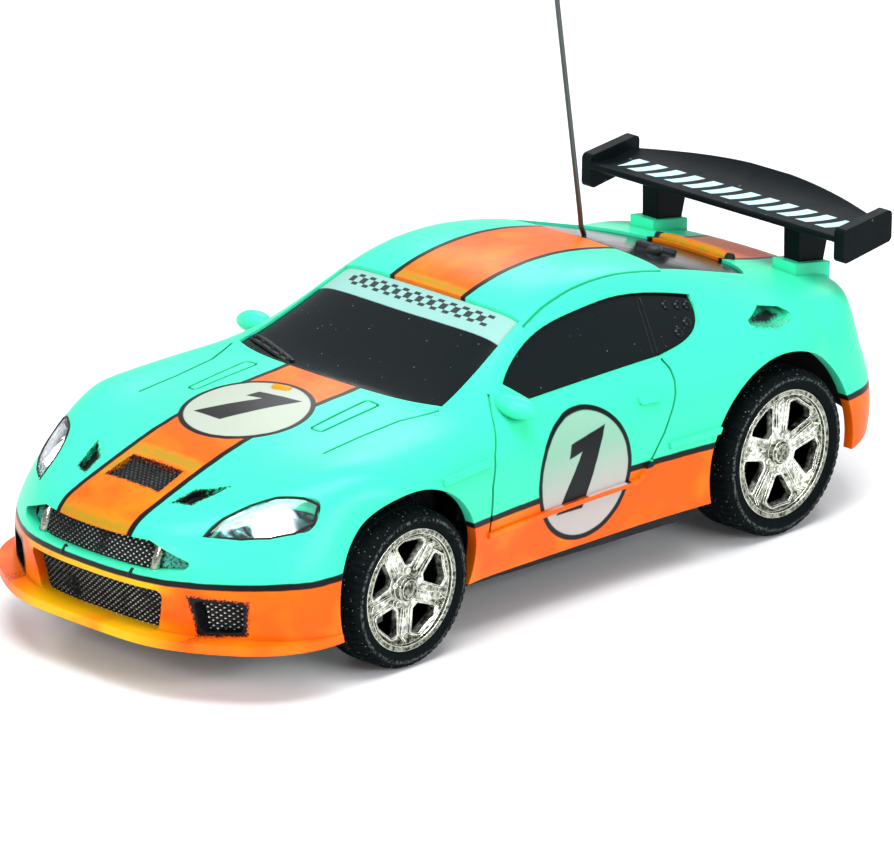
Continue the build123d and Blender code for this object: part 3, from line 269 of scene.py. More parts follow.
def livery(g, place):
    """Colour of the painted skin."""
    wobble = g.noise(place, 1.3, 1.0) * 0.10 - 0.05
    x, y, z = [part + wobble for part in g.split(place)]
    beside = abs(y)
    over = g.mask(z - 11.6, 0.1)
    flank = g.mask(beside - 12.3, 0.2)

    # orange lower body under a black pinstripe
    pin = PIN_Z - g.ramp(x, 21, 29) * PIN_DROP
    patch = g.noise(place, 5.0, 3.0)
    thin = g.ramp(patch, 0.45, 0.7) * 0.25
    orange = g.blend(thin, ORANGE, YELLOW)
    # yellow round the mouth: thin orange paint over yellow at its upper corners, and a painted highlight on
    # the top of the lip below it
    mouth = g.ramp(x, 33.0, 35.5) * g.mask(5.3 - z, 0.7) * g.ramp(beside, 9.5, 5.0)
    mouth = mouth | g.ramp(x, 33, 34) * g.mask(0.5 - abs(z - 8.35), 0.3) * g.ramp(beside, 8.0, 6.0)
    orange = g.blend(mouth * g.ramp(patch, 0.15, 0.45), orange, YELLOW)
    colour = g.blend(g.mask(pin - z), TURQUOISE, orange)
    colour = g.blend(g.mask(EDGE_WIDTH / 2 - abs(z - pin)), colour, INK)

    # centre stripe with black edges
    colour = g.blend(g.mask(STRIPE_HALF + EDGE_WIDTH - beside) * over, colour, INK)
    stripe = g.mask(STRIPE_HALF - beside) * over
    colour = g.blend(stripe, colour, g.blend(thin, ORANGE, YELLOW))

    # thin greenish paint where the stripe meets the grille, the vent, the roof and the boot edge
    ends = g.mask(0.5 - abs(z - 12.1), 0.4) * g.mask(x - 30, 1) | g.mask(0.6 - abs(x - 29.2), 0.3)
    ends = ends | g.mask(0.4 - abs(x - 0.8), 0.3) | g.mask(0.45 - abs(x + 28.7), 0.3)
    ends = ends | g.mask(0.3 - abs(y + 3.1), 0.2) * g.mask(1.4 - abs(x - 31.2), 0.3)
    ragged = g.ramp(g.noise(place, 0.5, 3.0), 0.22, 0.48)
    colour = g.blend(ends * stripe * ragged * 0.85, colour, OLIVE)

    # black spray in the vents, with a speckled fringe
    fringe = (g.noise(place, 0.16, 2.0) - 0.5) * 0.6 + 0.1
    vent = convex(g, y, x, [(-2.75, 32.7), (2.75, 32.7), (2.6, 30.1), (-2.6, 30.1)])
    slit = convex(g, beside, x, [(4.7, 33.0), (6.0, 32.5), (6.9, 29.7), (5.1, 31.2)])
    duct = convex(g, beside, z, [(9.2, 7.6), (12.1, 7.4), (12.0, 5.4), (9.5, 5.2)])
    quarter = convex(g, x, z, [(-21.2, 17.5), (-20.4, 17.1), (-22.4, 16.7), (-24.6, 16.9), (-23.4, 17.7)])
    sprayed = g.mask((vent | slit) + fringe, 0.1) * over | g.mask(duct + fringe + 0.3, 0.1) * g.mask(x - 28)
    sprayed = sprayed | g.mask(quarter + fringe - 0.15, 0.2) * g.mask(beside - 9)
    colour = g.blend(sprayed, colour, INK)

    # numbered discs on the hood and doors
    hood = g.mask(z - 14, 0.2) * g.mask(x - 12, 0.2)
    colour = roundel(g, colour, y, -(x - HOOD_DISC_X), hood, DISC_WHITE)
    outward = g.sum("SIGN", y)
    door_face = g.blend(g.ramp(z, 8.5, 12.5), DISC_PINK, DISC_GREEN)
    colour = roundel(g, colour, -(x - DOOR_DISC[0]) * outward, z - DOOR_DISC[1], flank, door_face)
    ledge = g.mask(0.22 - abs(z - 8.25)) * flank * g.mask(DISC_R - abs(x - DOOR_DISC[0]), 0.1)
    return g.blend(ledge, colour, ORANGE)


def shaded_inside(g, place):
    """1 on the inward faces of the shell, which are painted near-black as shade."""
    x, y, z = g.split(place)
    nx, ny, nz = g.split(g.node("NewGeometry", {}).outputs["True Normal"])
    beside = abs(y)
    flank = g.mask(-0.5 - ny * g.sum("SIGN", y), 0.05) * g.mask(beside - 11.8, 0.1) * g.mask(15.8 - z, 0.1)
    roof = g.mask(-0.62 - nz, 0.05) * g.mask(11.3 - beside, 0.1) * g.mask(z - 4.9, 0.1)
    ends = g.mask(-0.6 - nx * g.sum("SIGN", x), 0.05) * g.mask(abs(x) - 27, 0.1) * g.mask(11.3 - beside, 0.1)
    return flank | roof | ends * g.mask(15.8 - z, 0.1)


def body_paint():
    g = Graph("body_paint")
    place = g.place()
    inside_shade = shaded_inside(g, place)
    colour = livery(g, place)
    colour = g.blend(g.noise(place, 9.0, 2.0) * 0.10, colour, (1, 1, 1), "SOFT_LIGHT")
    # painted shade: a dark teal multiplied into the grooves and corners of the paint, where ambient
    # occlusion is low
    groove_shade = g.ramp(g.crevice(0.7), 0.30, 0.95) * (0.40 + g.noise(place, 1.5) * 0.35)
    colour = g.blend(groove_shade, colour, (0.02, 0.10, 0.09), "MULTIPLY")
    # inward faces of the shell painted near-black: painted shade inside the arches and under the shell
    colour = g.blend(inside_shade, colour, (0.012, 0.013, 0.013))
    skin = g.noise(place, 0.55, 2.0) * 0.6 + g.noise(place, 0.12, 1.0) * 0.4
    roughness = 0.30 + g.noise(place, 3.0, 3.0) * 0.10 + inside_shade * 0.3
    normal = g.bump(skin, 0.006, g.soft_edges(0.12))
    return g.close(Base_Color=colour, Roughness=roughness, Normal=normal, Specular_IOR_Level=0.14,
                   Coat_Weight=0.05 - inside_shade * 0.05, Coat_Roughness=0.15)


# ---------------------------------------------------------------- other finishes
def smoked_glazing():
    """Glossy smoked plastic with a pale chequered strip along the windscreen's top."""
    g = Graph("smoked_glazing")
    place = g.place()
    x, y, z = g.split(place)
    lower_edge = BANNER_FRONT_X - y * y * BANNER_BOW
    strip = g.mask(lower_edge - x) * g.mask(x + 1.0) * g.mask(z - 19.2, 0.1) * g.mask(BANNER_HALF - abs(y))
    step = g.sum("FLOOR", y / CHEQUER) + g.sum("FLOOR", (x - lower_edge) / CHEQUER)
    chequer = abs(g.sum("MODULO", abs(step), 2.0))
    band = g.mask(CHEQUER - abs(x - lower_edge + CHEQUER * 2.5), 0.03) * g.mask(7.4 - abs(y), 0.03)
    pale = g.blend(g.noise(place, 4.0) * 0.5, (0.22, 0.44, 0.40), (0.28, 0.50, 0.46))
    pale = g.blend(band * g.mask(chequer - 0.5, 0.01), pale, (0.03, 0.04, 0.04))
    dust = g.specks(place, 0.32, 0.05)
    colour = g.blend(dust, (0.004, 0.007, 0.008), (0.12, 0.14, 0.14))
    colour = g.blend(strip, colour, pale)
    roughness = 0.13 + g.noise(place, 2.0, 3.0) * 0.10 + dust * 0.5 + strip * 0.25
    normal = g.bump(g.noise(place, 0.9, 2.0), 0.01, g.soft_edges(0.08))
    return g.close(Base_Color=colour, Roughness=roughness, Normal=normal, Specular_IOR_Level=0.16)


def moulded(name, colour, roughness=0.45, grain=0.25, depth=0.012, tint=None, edge=0.06):
    """Moulded plastic: fine spark-eroded grain, cloudy gloss and dust in the corners."""
    g = Graph(name)
    place = g.place()
    tint = tint or tuple(min(1.0, part * 1.6 + 0.01) for part in colour)
    shade = g.blend(g.noise(place, 2.5, 3.0), colour, tint)
    shade = g.blend(g.ramp(g.crevice(0.6), 0.4, 0.9) * 0.4, shade, (0.10, 0.09, 0.08))
    shade = g.blend(g.specks(place, 0.7, 0.08) * 0.6, shade, (0.30, 0.31, 0.31))
    gloss = roughness - 0.06 + g.noise(place, 1.2, 3.0) * 0.14
    normal = g.bump(g.noise(place, grain, 2.0), depth, g.soft_edges(edge))
    return g.close(Base_Color=shade, Roughness=gloss, Normal=normal, Specular_IOR_Level=0.14)


def wing_black():
    """Satin black wing with pale slanted bars along the blade."""
    g = Graph("wing_black")
    place = g.place()
    x, y, z = g.split(place)
    upward = g.split(g.node("NewGeometry", {}).outputs["True Normal"])[2]
    lean = y + (x + 34.0) * 0.55
    cell = g.sum("MODULO", lean + 60.0, 2.0)
    bars = g.mask(0.56 - abs(cell - 1.0), 0.03)
    field = g.mask(1.15 - abs(x + 33.6), 0.03) * g.mask(11.4 - abs(y), 0.03) * g.mask(upward - 0.5)
    print_ink = g.blend(g.noise(place, 0.6, 2.0) * 0.5, (0.42, 0.68, 0.74), (0.55, 0.78, 0.82))
    black = g.blend(g.noise(place, 2.5, 3.0), (0.002, 0.004, 0.005), (0.006, 0.009, 0.010))
    colour = g.blend(bars * field, black, print_ink)
    colour = g.blend(g.specks(place, 0.8, 0.06) * 0.4, colour, (0.20, 0.21, 0.21))
    gloss = 0.34 + g.noise(place, 1.4, 3.0) * 0.14
    normal = g.bump(g.noise(place, 0.22, 2.0), 0.010, g.soft_edges(0.12))
    return g.close(Base_Color=colour, Roughness=gloss, Normal=normal, Specular_IOR_Level=0.04)


def metal(name, colour, roughness, streak=(1, 1, 1), depth=0.004, tarnish=(0.12, 0.10, 0.07)):
    """Metal with tool marks stretched along streak and a trace of tarnish in the corners."""
    g = Graph(name)
    place = g.place()
    drawn = g.node("VectorMath", {0: place, 1: streak}, operation="MULTIPLY").outputs[0]
    marks = g.noise(drawn, 0.35, 3.0)
    shade = g.blend(g.noise(place, 2.0, 3.0) * 0.35, colour, tuple(part * 0.75 for part in colour))
    shade = g.blend(g.ramp(g.crevice(0.5), 0.45, 0.95) * 0.6, shade, tarnish)
    gloss = roughness + marks * 0.12
    normal = g.bump(marks, depth, g.soft_edges(0.05))
    return g.close(Base_Color=shade, Roughness=gloss, Metallic=1.0, Normal=normal)


def chrome_plastic():
    """Smoky plated plastic: dark rippled flats, painted highlights along the edges and painted black shade
    in the corners.
    """
    g = Graph("chrome_plastic")
    place = g.place()
    haze = g.noise(place, 0.7, 4.0)
    edge = g.edges(0.09)
    shade = g.blend(haze, (0.10, 0.11, 0.08), (0.55, 0.56, 0.46))
    # painted highlight along the edges, in the base colour here and as emission below
    shade = g.blend(edge, shade, (0.98, 0.97, 0.90))
    # painted black shade in the corners
    shade = g.blend(g.ramp(g.crevice(0.9), 0.45, 0.95) * 0.9, shade, (0.010, 0.012, 0.009))
    normal = g.bump(g.noise(place, 0.35, 3.0), 0.045, g.soft_edges(0.08))
    return g.close(Base_Color=shade, Roughness=0.12 + haze * 0.12, Metallic=1.0, Normal=normal,
                   Emission_Color=(0.95, 0.98, 0.86), Emission_Strength=edge * 0.22)


def rim_chrome(name, axle, rim_radius, outer_face):
    """Plated rim: painted silver glare on the spokes, dark speckled hub and flange, painted black shade
    behind the windows, painted highlights along the edges.
    """
    g = Graph(name)
    place = g.place()
    x, y, z = g.split(place)
    reach = g.sum("SQRT", (x - axle.x) * (x - axle.x) + (z - axle.z) * (z - axle.z))
    spoke = g.mask(rim_radius * 0.80 - reach, 0.25) * g.mask(reach - 1.0, 0.15)
    # painted black shade deep in the rim, behind the windows
    behind = g.mask(outer_face - 0.95 - abs(y), 0.2)
    edge = g.edges(0.09)
    speckle_and_sheen = g.ramp(g.noise(place, 0.28, 3.0), 0.40, 0.60)
    painted_glare = g.ramp(g.noise(place, 1.3, 2.0), 0.38, 0.58) * (speckle_and_sheen * 0.6 + 0.4) * spoke
    shade = g.blend(speckle_and_sheen, (0.030, 0.036, 0.026), (0.34, 0.36, 0.28))
    shade = g.blend(painted_glare, shade, (0.80, 0.82, 0.74))
    # painted highlight along the edges
    shade = g.blend(edge, shade, (0.98, 0.97, 0.90))
    # painted black shade in the corners
    shade = g.blend(g.ramp(g.crevice(0.5), 0.5, 0.95) * 0.8, shade, (0.010, 0.012, 0.009))
    shade = g.blend(behind, shade, (0.004, 0.005, 0.004))
    # emission: painted highlights on the edges and the glare, and a faint painted sheen from the speckle
    glow = edge * 0.40 + painted_glare * 0.34 + speckle_and_sheen * 0.05
    normal = g.bump(g.noise(place, 0.35, 3.0), 0.045, g.soft_edges(0.08))
    return g.close(Base_Color=shade, Roughness=0.14 + speckle_and_sheen * 0.12, Metallic=1.0, Normal=normal,
                   Emission_Color=(0.95, 0.98, 0.86), Emission_Strength=glow * (1 - behind))


def lamp_bowl():
    """Plated headlight bowl: painted glow round the lamp, as white colour and emission, dark and ribbed
    towards its rim.
    """
    g = Graph("lamp_bowl")
    place = g.place()
    x, y, z = g.split(place)
    aside = abs(y) - LAMP_AT[1]
    ahead = x - LAMP_AT[0]
    reach = g.sum("SQRT", ahead * ahead + aside * aside)
    ribs = g.sum("SINE", (aside * 0.6 + z) * 11.0) * 0.5 + 0.5
    # painted pool of lamp light on the bowl, falling off with distance from the lamp
    painted_lamp_glow = g.ramp(reach, 1.9, 0.6)
    streaks = ribs * g.ramp(g.noise(place, 0.5), 0.35, 0.65)
    shade = g.blend(streaks, (0.006, 0.020, 0.022), (0.16, 0.46, 0.44))
    shade = g.blend(painted_lamp_glow, shade, (0.95, 0.97, 1.0))
    normal = g.bump(ribs, 0.05, g.soft_edges(0.06))
    return g.close(Base_Color=shade, Roughness=0.16 + g.noise(place, 0.6) * 0.1, Metallic=0.7,
                   Normal=normal, Emission_Color=(0.90, 0.98, 1.0), Emission_Strength=painted_lamp_glow * painted_lamp_glow * 6)


def tyre_rubber():
    """Soft black rubber with a pale worn ring on the shoulder and light specks."""
    g = Graph("tyre_rubber")
    place = g.place()
    x, y, z = g.split(place)
    shade = g.blend(g.noise(place, 1.2, 4.0), (0.001, 0.002, 0.002), (0.005, 0.008, 0.009))
    for axle, radius in ((FRONT_WHEEL, FRONT_TYRE_R), (REAR_WHEEL, REAR_TYRE_R)):
        reach = g.sum("SQRT", (x - axle.x) * (x - axle.x) + (z - axle.z) * (z - axle.z))
        shoulder = g.mask(0.10 - abs(reach - radius + 0.62), 0.08) * g.mask(8.5 - abs(x - axle.x), 0.1)
        chalk = g.ramp(g.noise(place, 0.22, 2.0), 0.42, 0.60)
        shade = g.blend(shoulder * chalk * 0.45, shade, (0.20, 0.23, 0.23))
        dusty = g.mask(0.6 - abs(reach - radius + 0.1), 0.3) * g.specks(place, 0.26, 0.42)
        shade = g.blend(dusty * 0.8, shade, (0.30, 0.32, 0.32))
    skin = g.noise(place, 0.18, 3.0) * 0.6 + g.noise(place, 0.6, 2.0) * 0.4
    return g.close(Base_Color=shade, Roughness=0.60 + g.noise(place, 0.9) * 0.2, Normal=g.bump(skin, 0.05),
                   Specular_IOR_Level=0.03)


def grille_mesh(name, across, up, shine):
    """Black wire mesh that glints where its wires cross; across and up pick the axes of its weave."""
    g = Graph(name)
    place = g.place()
    axes = g.split(place)
    u, v = axes[across], axes[up]
    first = g.weave((u + v * WEAVE_RISE) * WEAVE_SPREAD)
    second = g.weave((u - v * WEAVE_RISE) * WEAVE_SPREAD)
    knot = g.ramp(g.sum("MAXIMUM", abs(first), abs(second)), WEAVE * 0.20, WEAVE * 0.10)
    # painted highlight at the wire crossings, stronger towards the car's left
    glint = knot * g.ramp(g.noise(place, 1.6, 2.0), 0.30, 0.50) * g.ramp(axes[1], -9, 4) * shine
    shade = g.blend(g.noise(place, 0.8, 2.0), (0.003, 0.004, 0.004), (0.012, 0.014, 0.014))
    shade = g.blend(glint, shade, (0.85, 0.88, 0.82))
    return g.close(Base_Color=shade, Roughness=0.25 + g.noise(place, 0.5) * 0.1, Specular_IOR_Level=0.2,
                   Normal=g.bump(g.noise(place, 0.2), 0.01))


def mouth_backing():
    """Black behind the mesh, misted with body colour towards the tips of the mouth."""
    g = Graph("mouth_backing")
    place = g.place()
    x, y, z = g.split(place)
    mist = g.mask(abs(y) - 6.2, 0.3) * g.ramp(g.noise(place, 0.2, 2.0), 0.35, 0.55)
    shade = g.blend(g.noise(place, 0.8, 2.0), (0.003, 0.004, 0.004), (0.010, 0.012, 0.012))
    shade = g.blend(mist, shade, (0.06, 0.42, 0.32))
    return g.close(Base_Color=shade, Roughness=0.5 + g.noise(place, 0.5) * 0.1, Specular_IOR_Level=0.2,
                   Normal=g.bump(g.noise(place, 0.2), 0.02))


def clear_lens():
    """Clear moulded lens."""
    g = Graph("clear_lens")
    place = g.place()
    ripple = g.bump(g.noise(place, 0.8, 1.0), 0.01, g.soft_edges(0.06))
    haze = g.noise(place, 1.5, 3.0)
    return g.close(Base_Color=(0.93, 0.98, 1.0), Roughness=0.02 + haze * 0.04, Normal=ripple,
                   Transmission_Weight=1.0, IOR=1.46, Coat_Weight=0.3)


def led_epoxy():
    """Lit lamp: white hot at its dome, clear resin at its foot."""
    g = Graph("led_epoxy")
    place = g.place()
    x, y, z = g.split(place)
    glow = g.ramp(z, 11.2, 12.2) * (0.8 + g.noise(place, 0.8) * 0.4)
    shade = g.blend(g.noise(place, 0.7), (0.85, 0.90, 0.95), (0.95, 0.97, 1.0))
    return g.close(Base_Color=shade, Roughness=0.12, Emission_Color=(0.92, 0.97, 1.0),
                   Emission_Strength=glow * 60)


def red_lens():
    g = Graph("red_lens")
    place = g.place()
    x, y, z = g.split(place)
    ribs = g.sum("SINE", y * 9.0) * 0.5 + 0.5
    shade = g.blend(g.noise(place, 0.9), (0.42, 0.008, 0.010), (0.62, 0.02, 0.015))
    normal = g.bump(ribs, 0.05, g.soft_edges(0.08))
    return g.close(Base_Color=shade, Roughness=0.10 + g.noise(place, 1.1) * 0.08, Normal=normal,
                   Coat_Weight=0.5)


def copper_wire():
    """Enamelled wire wound turn by turn."""
    g = Graph("copper_wire")
    place = g.place()
    x, y, z = g.split(place)
    turns = g.sum("SINE", x * 42.0) * 0.5 + 0.5
    shade = g.blend(g.noise(place, 0.6), (0.55, 0.20, 0.07), (0.75, 0.32, 0.12))
    return g.close(Base_Color=shade, Roughness=0.28 + turns * 0.1, Metallic=0.8, Normal=g.bump(turns, 0.06))


def battery_wrap():
    """Shrink film with a paler band and a seam along the cell."""
    g = Graph("battery_wrap")
    place = g.place()
    x, y, z = g.split(place)
    band = g.mask(1.4 - abs(x + 3.0), 0.05)
    seam = g.mask(0.12 - abs(y - 1.5), 0.04) * g.mask(z - 8)
    shade = g.blend(g.noise(place, 3.0, 3.0), (0.008, 0.022, 0.05), (0.012, 0.03, 0.07))
    shade = g.blend(band, shade, (0.30, 0.32, 0.34))
    creases = g.noise(place, 1.4, 3.0) * 0.7 + seam * 0.3
    return g.close(Base_Color=shade, Roughness=0.22 + g.noise(place, 0.8) * 0.1,
                   Normal=g.bump(creases, 0.05))


def board_green():
    """Circuit board: solder mask over copper tracks, with round tinned pads."""
    g = Graph("board_green")
    place = g.place()
    x, y, z = g.split(place)
    grid = g.sum("MODULO", x + 40.0, 1.27)
    tracks = g.mask(0.2 - abs(grid - 0.63), 0.04) * g.mask(g.noise(place, 3.2) - 0.48, 0.02)
    shade = g.blend(g.noise(place, 2.0, 2.0) * 0.4, (0.010, 0.10, 0.03), (0.02, 0.16, 0.05))
    shade = g.blend(tracks, shade, (0.06, 0.26, 0.08))
    pads = g.specks(place, 1.27, 0.4)
    shade = g.blend(pads, shade, (0.62, 0.60, 0.55))
    height = tracks * 0.5 + pads
    return g.close(Base_Color=shade, Roughness=0.28 + g.noise(place, 0.3) * 0.1,
                   Normal=g.bump(height, 0.04))


FINISHES = {
    "body_paint": body_paint(),
    "smoked_glazing": smoked_glazing(),
    "black_plastic": moulded("black_plastic", (0.005, 0.006, 0.007), 0.42),
    "grille_black": moulded("grille_black", (0.003, 0.004, 0.004), 0.34, depth=0.008),
    "clear_lens": clear_lens(),
    "red_lens": red_lens(),
    "chrome_plastic": chrome_plastic(),
    "tyre_rubber": tyre_rubber(),
    "steel": metal("steel", (0.55, 0.55, 0.54), 0.22, (1, 0.15, 0.15)),
    "brass": metal("brass", (0.72, 0.50, 0.20), 0.25, (1, 0.3, 1)),
    "nylon_white": moulded("nylon_white", (0.78, 0.77, 0.72), 0.40, tint=(0.70, 0.68, 0.60)),
    "magnet_metal": metal("magnet_metal", (0.50, 0.50, 0.50), 0.18),
    "copper_wire": copper_wire(),
    "battery_wrap": battery_wrap(),
    "board_green": board_green(),
    "component_black": moulded("component_black", (0.016, 0.016, 0.018), 0.32, grain=0.15),
    "led_epoxy": led_epoxy(),
    "orange_plastic": moulded("orange_plastic", ORANGE, 0.30, tint=YELLOW),
    "lead_insulation": moulded("lead_insulation", (0.42, 0.02, 0.015), 0.35, tint=(0.5, 0.04, 0.03)),
}
OWN_FINISHES = {
    "rear_wing": wing_black(),
    "upper_grille": mouth_backing(),
    "headlight_reflector_left": lamp_bowl(),
    "antenna_wire": metal("dark_wire", (0.10, 0.105, 0.11), 0.30),
}
OWN_FINISHES["headlight_reflector_right"] = OWN_FINISHES["headlight_reflector_left"]
WHEELS = (("front", FRONT_WHEEL, FRONT_TYRE_R, FRONT_RIM_R),
          ("rear", REAR_WHEEL, REAR_TYRE_R, REAR_RIM_R))
for axle_name, wheel_at, _, rim_radius in WHEELS:
    left_rim = f"{axle_name}_rim_left"
    outer_face = centre_of(left_rim).y + size_of(left_rim).y / 2
    OWN_FINISHES[left_rim] = rim_chrome(f"rim_chrome_{axle_name}", wheel_at, rim_radius, outer_face)
    OWN_FINISHES[f"{axle_name}_rim_right"] = OWN_FINISHES[left_rim]
GRILLE_FRONT = grille_mesh("grille_mesh_front", 1, 2, 0.9)
GRILLE_TOP = grille_mesh("grille_mesh_top", 0, 1, 0.12)


def dress_cad_nodes():
    """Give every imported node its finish."""
    for part in frame["record"]["subparts"]:
        node = NODES[part["node"]]
        finish = OWN_FINISHES.get(part["node"], FINISHES[part["material_slot"]])
        node.data.materials.clear()
        node.data.materials.append(finish)
        for face in node.data.polygons:
            face.material_index = 0


# ---------------------------------------------------------------- mesh helpers
def piece(name, shapes, finish, body):
    """Join shapes, each a (vertices, faces) pair in millimetres, into one riding object."""
    vertices = []
    faces = []
    for points, loops in shapes:
        faces += [[index + len(vertices) for index in loop] for loop in loops]
        vertices += [Vector(point) * MM for point in points]
    mesh = bpy.data.meshes.new(name)
    mesh.from_pydata(vertices, [], faces)
    mesh.shade_smooth()
    mesh.set_sharp_from_angle(angle=math.radians(40))
    mesh.materials.append(finish)
    obj = bpy.data.objects.new(name, mesh)
    bpy.context.scene.collection.objects.link(obj)
    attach(obj, body)
    return obj


def mirrored(shape):
    """The same shape on the car's other side, faces still outwards."""
    points, loops = shape
    return [(x, -y, z) for x, y, z in points], [list(reversed(loop)) for loop in loops]


def tube_faces(rings, sides):
    """Side faces between rings of points, and a cap at each end."""
    faces = []
    for ring in range(rings - 1):
        for side in range(sides):
            after = (side + 1) % sides
            faces.append([ring * sides + side, ring * sides + after,
                          (ring + 1) * sides + after, (ring + 1) * sides + side])
    last = (rings - 1) * sides
    faces.append(list(reversed(range(sides))))
    faces.append([last + side for side in range(sides)])
    return faces


def bead(path, radius, sides=10, flat=1.0, up=(0, 0, 1)):
    """Rounded bar along a path of points; flat squashes it along up."""
    path = [Vector(point) for point in path]
    first, last = path[0], path[-1]
    full = path[1:-1] if len(path) > 2 else path
    rings = [(first, 0.0), (first, 0.6), *[(point, 1.0) for point in full], (last, 0.6), (last, 0.0)]
    offsets = [-1.0, -0.8, *[0.0] * len(full), 0.8, 1.0]
    points = []
    for index, ((at, share), shift) in enumerate(zip(rings, offsets)):
        before = rings[max(index - 1, 0)][0]
        after = rings[min(index + 1, len(rings) - 1)][0]
        ahead = (after - before).normalized()
        if at == first:
            ahead = (path[1] - first).normalized()
        if at == last:
            ahead = (last - path[-2]).normalized()
        right = ahead.cross(Vector(up)).normalized()
        above = right.cross(ahead)
        for side in range(sides):
            turn = 2 * math.pi * side / sides
            swing = right * math.cos(turn) + above * math.sin(turn) * flat
            points.append(at + ahead * shift * radius * 0.6 + swing * radius * max(share, 0.02))
    return points, tube_faces(len(rings), sides)


def turned(profile, sides, at, axis):
    """Solid of revolution: (radius, height) pairs about axis, from the foot to the top."""
    axis = Vector(axis).normalized()
    right = axis.orthogonal().normalized()
    ahead = axis.cross(right)
    points = []
    for radius, height in profile:
        for side in range(sides):
            turn = 2 * math.pi * side / sides
            swing = right * math.cos(turn) + ahead * math.sin(turn)
            points.append(Vector(at) + axis * height + swing * max(radius, 0.004))
    return points, tube_faces(len(profile), sides)


TREES = {}


def land(node, start, direction):
    """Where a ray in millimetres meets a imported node: point and outward normal."""
    if node not in TREES:
        mesh = NODES[node].data
        points = [vertex.co / MM for vertex in mesh.vertices]
        TREES[node] = BVHTree.FromPolygons(points, [face.vertices[:] for face in mesh.polygons])
    return TREES[node].ray_cast(Vector(start), Vector(direction))[:2]


def on_side(node, x, z, side=1):
    """Point on the left (side 1) or right (-1) of a node."""
    return land(node, (x, 30 * side, z), (0, -side, 0))


def on_top(node, x, y):
    return land(node, (x, y, 40), (0, 0, -1))


def on_front(node, y, z):
    return land(node, (60, y, z), (-1, 0, 0))


# ---------------------------------------------------------------- grille meshes
def within(outline, u, v):
    """Whether a point lies inside a convex outline, given anticlockwise."""
    for (u0, v0), (u1, v1) in zip(outline, outline[1:] + outline[:1]):
        if (u1 - u0) * (v - v0) - (v1 - v0) * (u - u0) < 0:
            return False
    return True


def bar_height(distance, half_width):
    share = min(abs(distance) / half_width, 1.0)
    return math.sqrt(1 - share * share)


def woven_height(u, v):
    """Crossed round wires, highest where they cross."""
    def to_wire(value):
        return (value + WEAVE / 2) % WEAVE - WEAVE / 2

    half = WEAVE * 0.24
    first = bar_height(to_wire((u + v * WEAVE_RISE) * WEAVE_SPREAD), half)
    second = bar_height(to_wire((u - v * WEAVE_RISE) * WEAVE_SPREAD), half)
    return 0.55 * max(first, second) + 0.45 * first * second


def woven_sheet(outline, caster, outward, height=0.24, step=0.065, sink=0.12):
    """Closed slab with a woven front, laid on the surface that caster finds."""
    us = [point[0] for point in outline]
    vs = [point[1] for point in outline]
    columns = int((max(us) - min(us)) / step)
    rows = int((max(vs) - min(vs)) / step)
    outward = Vector(outward)
    fronts = {}
    for i in range(columns + 1):
        for j in range(rows + 1):
            u = min(us) + i * step
            v = min(vs) + j * step
            if within(outline, u, v):
                hit = caster(u, v)[0]
                if hit is not None:
                    fronts[i, j] = (hit, woven_height(u, v))
    bm = bmesh.new()
    tops = {key: bm.verts.new(hit + outward * height * lift) for key, (hit, lift) in fronts.items()}
    feet = {key: bm.verts.new(hit - outward * sink) for key, (hit, lift) in fronts.items()}
    for i in range(columns):
        for j in range(rows):
            corners = [(i, j), (i + 1, j), (i + 1, j + 1), (i, j + 1)]
            if all(corner in tops for corner in corners):
                bm.faces.new([tops[corner] for corner in corners])
                bm.faces.new([feet[corner] for corner in reversed(corners)])
    places = {vert: key for key, vert in tops.items()}
    for edge in [edge for edge in bm.edges if len(edge.link_faces) == 1]:
        first, second = edge.verts
        if first in places and second in places:
            bm.faces.new([second, first, feet[places[first]], feet[places[second]]])
    loose = [vert for vert in bm.verts if not vert.link_faces]
    bmesh.ops.delete(bm, geom=loose, context="VERTS")
    bmesh.ops.recalc_face_normals(bm, faces=bm.faces)
    bm.verts.index_update()
    points = [vert.co.copy() for vert in bm.verts]
    loops = [[vert.index for vert in face.verts] for face in bm.faces]
    bm.free()
    return points, loops


def grille_meshes():
    lower = [(-6.2, 4.8), (6.2, 4.8), (6.95, 8.05), (-6.95, 8.05)]
    sheet = woven_sheet(lower, lambda y, z: on_front("lower_grille", y, z), (1, 0, 0), 0.30)
    piece("lower_mouth_mesh", [sheet], GRILLE_FRONT, "car")

    upper = [(-4.9, 9.45), (4.9, 9.45), (6.0, 9.6), (6.0, 11.4),
             (5.5, 11.65), (-5.5, 11.65), (-6.0, 11.4), (-6.0, 9.6)]
    sheet = woven_sheet(upper, lambda y, z: on_front("upper_grille", y, z), (1, 0, 0))
    piece("upper_mouth_mesh", [sheet], GRILLE_FRONT, "car")

    duct = [(9.45, 5.15), (12.05, 5.35), (12.15, 7.45), (9.15, 7.65)]
    sheet = woven_sheet(duct, lambda y, z: on_front("lower_grille", y, z), (1, 0, 0))
    piece("brake_duct_meshes", [sheet, mirrored(sheet)], GRILLE_FRONT, "car")

    vent = [(30.12, -2.66), (32.68, -2.8), (32.68, 2.8), (30.12, 2.66)]
    sheet = woven_sheet(vent, lambda x, y: on_top("body_shell", x, y), (0, 0, 1), 0.34)
    piece("hood_vent_mesh", [sheet], GRILLE_TOP, "car")


